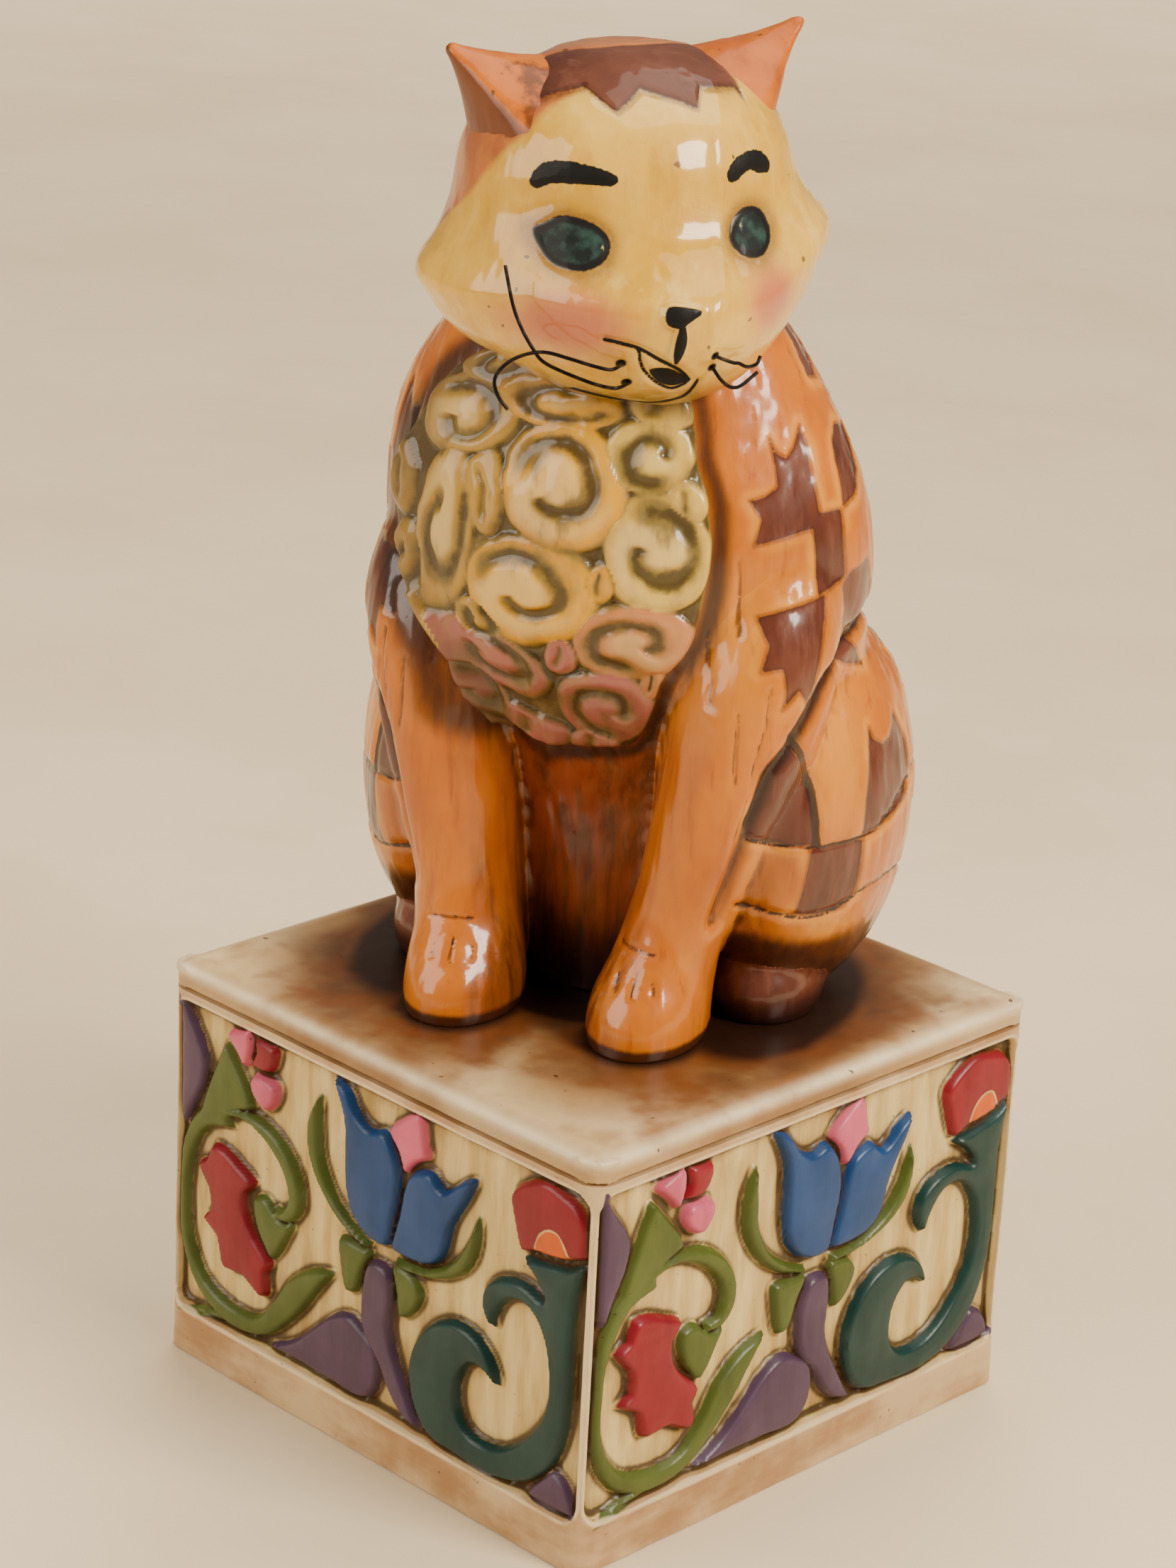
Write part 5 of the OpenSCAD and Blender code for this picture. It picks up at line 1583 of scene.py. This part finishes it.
wires = {
    "radius": 0.29,
    "leftUpper": [
        [4.3, -29.3, -11.3], [4.3, -34.5, -11.3], [4.5, -35.4, -11.4], [6.9, -35.8, -12.4],
        [8.1, -35.2, -12.8], [9.4, -34.4, -13.6], [10.7, -33.2, -14], [12, -32.2, -13.9],
        [12.7, -31.5, -13]],
    "leftLower": [
        [4.4, -27.8, -13.6], [4.4, -33, -13.6], [4.5, -33.8, -13.8], [5.3, -34.8, -15.2],
        [6.8, -34, -16.6], [8.4, -33, -17.2], [9.9, -32, -17], [11.2, -31.3, -16.4],
        [12.5, -30.8, -15.7]],
    "rightUpper": [
        [-9.5, -25.8, -12.3], [-9.5, -31, -12.3], [-9.7, -32.2, -12.3], [-11.8, -34, -12.4],
        [-14.3, -33.5, -11.8], [-17.8, -32, -10.7], [-20.8, -30, -10], [-23.1, -28, -10.5],
        [-25.4, -26, -11.9], [-27.2, -25, -13.8], [-27.7, -24.5, -15.7], [-27.1, -24.5, -17.9],
        [-25.8, -25, -19.9]],
    "rightLower": [
        [-8.1, -23.8, -15.9], [-8.1, -29, -15.9], [-8.3, -30.4, -15.9], [-10.5, -32.5, -15.8],
        [-12.5, -32, -15.5], [-15, -31, -14.7], [-18.9, -29.5, -13], [-21.1, -28.5, -11.7],
        [-22.2, -27.5, -10.1], [-23.7, -26.5, -7], [-24.8, -25.5, -3.3], [-25.5, -24, 2.5]],
}


def buildWire(name):
    path = smoothLine(wires[name], 6)
    along = np.concatenate([[0], np.cumsum(np.linalg.norm(np.diff(path, axis=0), axis=1))])
    run = np.gradient(path, axis=0)
    run /= np.linalg.norm(run, axis=1)[:, None]
    side = np.cross(run, [0.3, 0.2, 0.93])
    side /= np.linalg.norm(side, axis=1)[:, None]
    over = np.cross(side, run)

    def place(around, rise):
        way = np.clip((rise - 0.01) / 0.98, 0, 1) * along[-1]
        read = lambda table: np.stack([np.interp(way, along, table[:, k]) for k in range(3)], 1)
        radius = wires["radius"] * np.sqrt(np.clip(np.minimum(rise, 1 - rise) / 0.01, 0, 1))
        ring = read(side) * np.cos(around)[:, None] + read(over) * np.sin(around)[:, None]
        return read(path) + ring * radius[:, None]

    return ballTo("whisker" + name[0].upper() + name[1:], 14, 140, place)


def paintWire():
    paint = Paint("blackenedWire")
    rub = paint.noise(600, 3)
    colour = paint.mix(rub.over(0.45, 0.75), tint(0.09, 0.08, 0.09), tint(0.26, 0.22, 0.20))
    paint.shader.inputs["Metallic"].default_value = 0.75
    return paint.finish(colour, rub * 0.3 + 0.3, rub, 0.2, 0.0001)


wirePaint = paintWire()
whiskers = {}
for name in ("leftUpper", "leftLower", "rightUpper", "rightLower"):
    whiskers[name] = buildWire(name)
    wear(whiskers[name], wirePaint)

topBoard = {"lip": 5, "rebate": 5, "inner": 87, "round": 1.7, "voxel": 0.62}


def buildTop():
    bpy.ops.mesh.primitive_cube_add(size=1)
    top = nameIt("plinthTop")
    bpy.ops.object.mode_set(mode="EDIT")
    bpy.ops.mesh.select_all(action="SELECT")
    bpy.ops.transform.resize(value=(plinthSide * mm, plinthSide * mm, topBoard["lip"] * mm),
                             center_override=(0, 0, 0))
    bpy.ops.transform.translate(value=(0, 0, (plinthTop - topBoard["lip"] / 2) * mm))
    bpy.ops.object.mode_set(mode="OBJECT")
    bpy.context.tool_settings.mesh_select_mode = (False, True, False)
    for edge in top.data.edges:
        a, b = (top.data.vertices[i].co for i in edge.vertices)
        edge.select = abs(a.z - b.z) > 1e-6
    bpy.ops.object.mode_set(mode="EDIT")
    bpy.ops.mesh.bevel(offset=board["corner"] * mm, segments=8)
    bpy.ops.object.mode_set(mode="OBJECT")
    high = plinthTop * mm - 1e-6
    for edge in top.data.edges:
        edge.select = all(top.data.vertices[i].co.z > high for i in edge.vertices)
    bpy.ops.object.mode_set(mode="EDIT")
    bpy.ops.mesh.bevel(offset=topBoard["round"] * mm, segments=5)
    bpy.ops.object.mode_set(mode="OBJECT")
    bpy.ops.mesh.primitive_cube_add(size=1)
    block = nameIt("rebateBlock")
    half = topBoard["inner"] / 2
    deep = topBoard["rebate"] + 1
    bottom = plinthTop - topBoard["lip"] - topBoard["rebate"]
    co = points(block) * mm * 2
    setPoints(block, np.stack([co[:, 0] * half, co[:, 1] * half, bottom + deep * (co[:, 2] + 1) / 2], 1))
    pick(top, block)
    bpy.ops.object.join()
    useModifier(top, "REMESH", mode="VOXEL", voxel_size=topBoard["voxel"] * mm)
    relax(top, 2)
    co = points(top)
    out, length = outwardOfPlinth(co)
    seam = plinthTop - topBoard["lip"]
    skin = (length > board["corner"] - 1.2) & (co[:, 2] < plinthTop - topBoard["round"] - 0.6)
    # flush with the panels at the seam
    co[skin] += out[skin] * (board["corner"] - length[skin])[:, None]
    co[skin & (co[:, 2] < seam + 0.45), 2] = seam
    co = handWorn(co)
    edge = plinthSide / 2 - np.abs(co[:, :2]).max(1)
    up = smoothSteps(co[:, 2], plinthTop - 1.2, plinthTop - 0.3)
    cat = fromWorld(co)
    spread = np.full(len(co), 60.0)
    for x, y, wide, deep in ((0, 17, 30, 26), (15.1, -19, 9.6, 14), (-17.7, -19, 9.6, 14), (30, 4, 13, 26),
                             (-30, 4, 13, 26), (-17, 48, 20, 10), (0, -6, 18, 14)):
        e = np.hypot((cat[:, 0] - x) / wide, (cat[:, 1] - y) / deep)
        spread = np.minimum(spread, (e - 1) * min(wide, deep) * 1.1)
    soft = smoothSteps(spread, 1.0, 6.0) * up
    co[:, 2] += soft * (0.16 * grainAt(co, (17, 17, 9)) + 0.05 * grainAt(co, (4, 4, 4)) - 0.12)
    setPoints(top, co)
    putOn(top, "spread", spread)
    # the rounded rim of the top, which the paint makes paler: rubbed wear and a painted highlight
    putOn(top, "lip", np.exp(-((edge - 0.5) / 1.3) ** 2)
          * smoothSteps(co[:, 2], plinthTop - 3.2, plinthTop - 0.8))
    putOn(top, "edge", edge)
    return top


def paintTop():
    paint = Paint("washedTop")
    brush = paint.noise(150, 5, 0.62, stretch=(1, 0.4, 1), turn=(0, 0, 0.5))
    cloud = paint.noise(32, 4, 0.6)
    small = paint.noise(120, 3)
    speck = paint.noise(420, 1)
    cream = paint.mix(cloud.over(0.35, 0.7), tint(0.94, 0.87, 0.73), tint(0.84, 0.74, 0.57))
    cream = paint.mix(brush.over(0.45, 0.75) * 0.5, cream, tint(0.66, 0.53, 0.37))
    cream = paint.mix((cloud * 0.6 + small * 0.5).over(0.5, 0.68) * 0.55, cream, tint(0.60, 0.46, 0.31))
    reach = paint.layer("spread") + (cloud - 0.5) * 30 + (small - 0.5) * 14 + (brush - 0.5) * 8
    colour = paint.mix(reach.over(25, 4) * 0.85, cream,
                       paint.mix(brush.over(0.35, 0.7), tint(0.60, 0.45, 0.30), tint(0.44, 0.29, 0.17)))
    colour = paint.mix(reach.over(18, 1.5) * 0.88, colour,
                       paint.mix(small.over(0.4, 0.7), tint(0.36, 0.19, 0.06), tint(0.24, 0.12, 0.04)))
    # a painted contact shadow right round the feet and between the legs
    colour = paint.mix((paint.layer("spread") + (small - 0.5) * 3).over(2.6, -0.6) * 0.9, colour,
                       tint(0.09, 0.045, 0.03))
    rim = (paint.layer("edge") + (cloud - 0.5) * 16 + (small - 0.5) * 5).over(5, 0) * 0.6
    colour = paint.mix(rim, colour, tint(0.56, 0.41, 0.27))
    # the rounded rim paler: rubbed wear with a painted highlight
    colour = paint.mix(paint.layer("lip") * (small * 1.2 + 0.1), colour, tint(0.95, 0.89, 0.77))
    colour = paint.mix(speck.over(0.745, 0.765) * 0.8, colour, tint(0.20, 0.12, 0.07))
    return paint.finish(colour, brush * 0.25 + 0.33, brush * 0.6 + cloud * 0.5, 0.4, 0.0004, coat=0.35,
                        coatRough=0.3)


plinthBoard = buildTop()
wear(plinthBoard, paintTop())
print("the top board and whiskers are done")


def paintBrass():
    paint = Paint("screwBrass")
    rub = paint.noise(500, 3)
    paint.shader.inputs["Metallic"].default_value = 1.0
    return paint.finish(paint.mix(rub.over(0.4, 0.7), tint(0.82, 0.68, 0.38), tint(0.58, 0.44, 0.22)),
                        rub * 0.25 + 0.25, rub, 0.15, 0.0001)


def paintUnderside():
    paint = Paint("plainCream")
    brush = paint.noise(200, 4, 0.6, stretch=(1, 0.15, 1))
    cloud = paint.noise(45, 4)
    colour = paint.mix(brush.over(0.35, 0.7), tint(0.86, 0.76, 0.58), tint(0.70, 0.57, 0.38))
    colour = paint.mix(cloud.over(0.45, 0.75) * 0.6, colour, tint(0.52, 0.39, 0.24))
    return paint.finish(colour, brush * 0.3 + 0.4, brush, 0.3, 0.0003)


for piece in (carvedHead, *earPieces.values(), *whiskers.values()):
    setPoints(piece, toWorld(headToCat(points(piece))))
for piece in (*bodyPieces.values(), chestRuff, tailPiece):
    setPoints(piece, toWorld(points(piece)))
for form in forms.values():
    bpy.data.objects.remove(form)

standFor = {"torsoCarving": "orange_wood", "forelegLeft": "orange_wood", "forelegRight": "orange_wood",
            "haunchLeft": "orange_wood", "haunchRight": "orange_wood", "hindPawLeft": "rust_wood",
            "hindPawRight": "rust_wood", "chestRuff": "ruff_wood", "tailCarving": "orange_wood",
            "headCarving": "gold_wood",
            "earLeft": "orange_wood", "earRight": "orange_wood", "whiskerLeftUpper": "whisker_wire",
            "whiskerLeftLower": "whisker_wire", "whiskerRightUpper": "whisker_wire",
            "whiskerRightLower": "whisker_wire", "plinthTop": "cream_wood"}
for name, slot in standFor.items():
    piece = bpy.data.objects[name]
    softShade(piece)
    nodeName = name.replace("Carving", "")
    nodeName = "".join("_" + letter.lower() if letter.isupper() else letter for letter in nodeName)
    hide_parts(nodeName)
    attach(piece, "root")
brass, underside = paintBrass(), paintUnderside()
for name, material in (("corner_blocks", pine), ("paw_dowels", pine), ("tail_dowel", pine),
                       ("neck_dowel", pine), ("ear_dowels", pine), ("bottom_screws", brass),
                       ("body_screws", brass), ("plinth_bottom", underside)):
    for piece in bpy.data.objects:
        if piece.name == name or piece.name.startswith(name + "."):
            wear(piece, material)
print("every piece has its paint and its place")
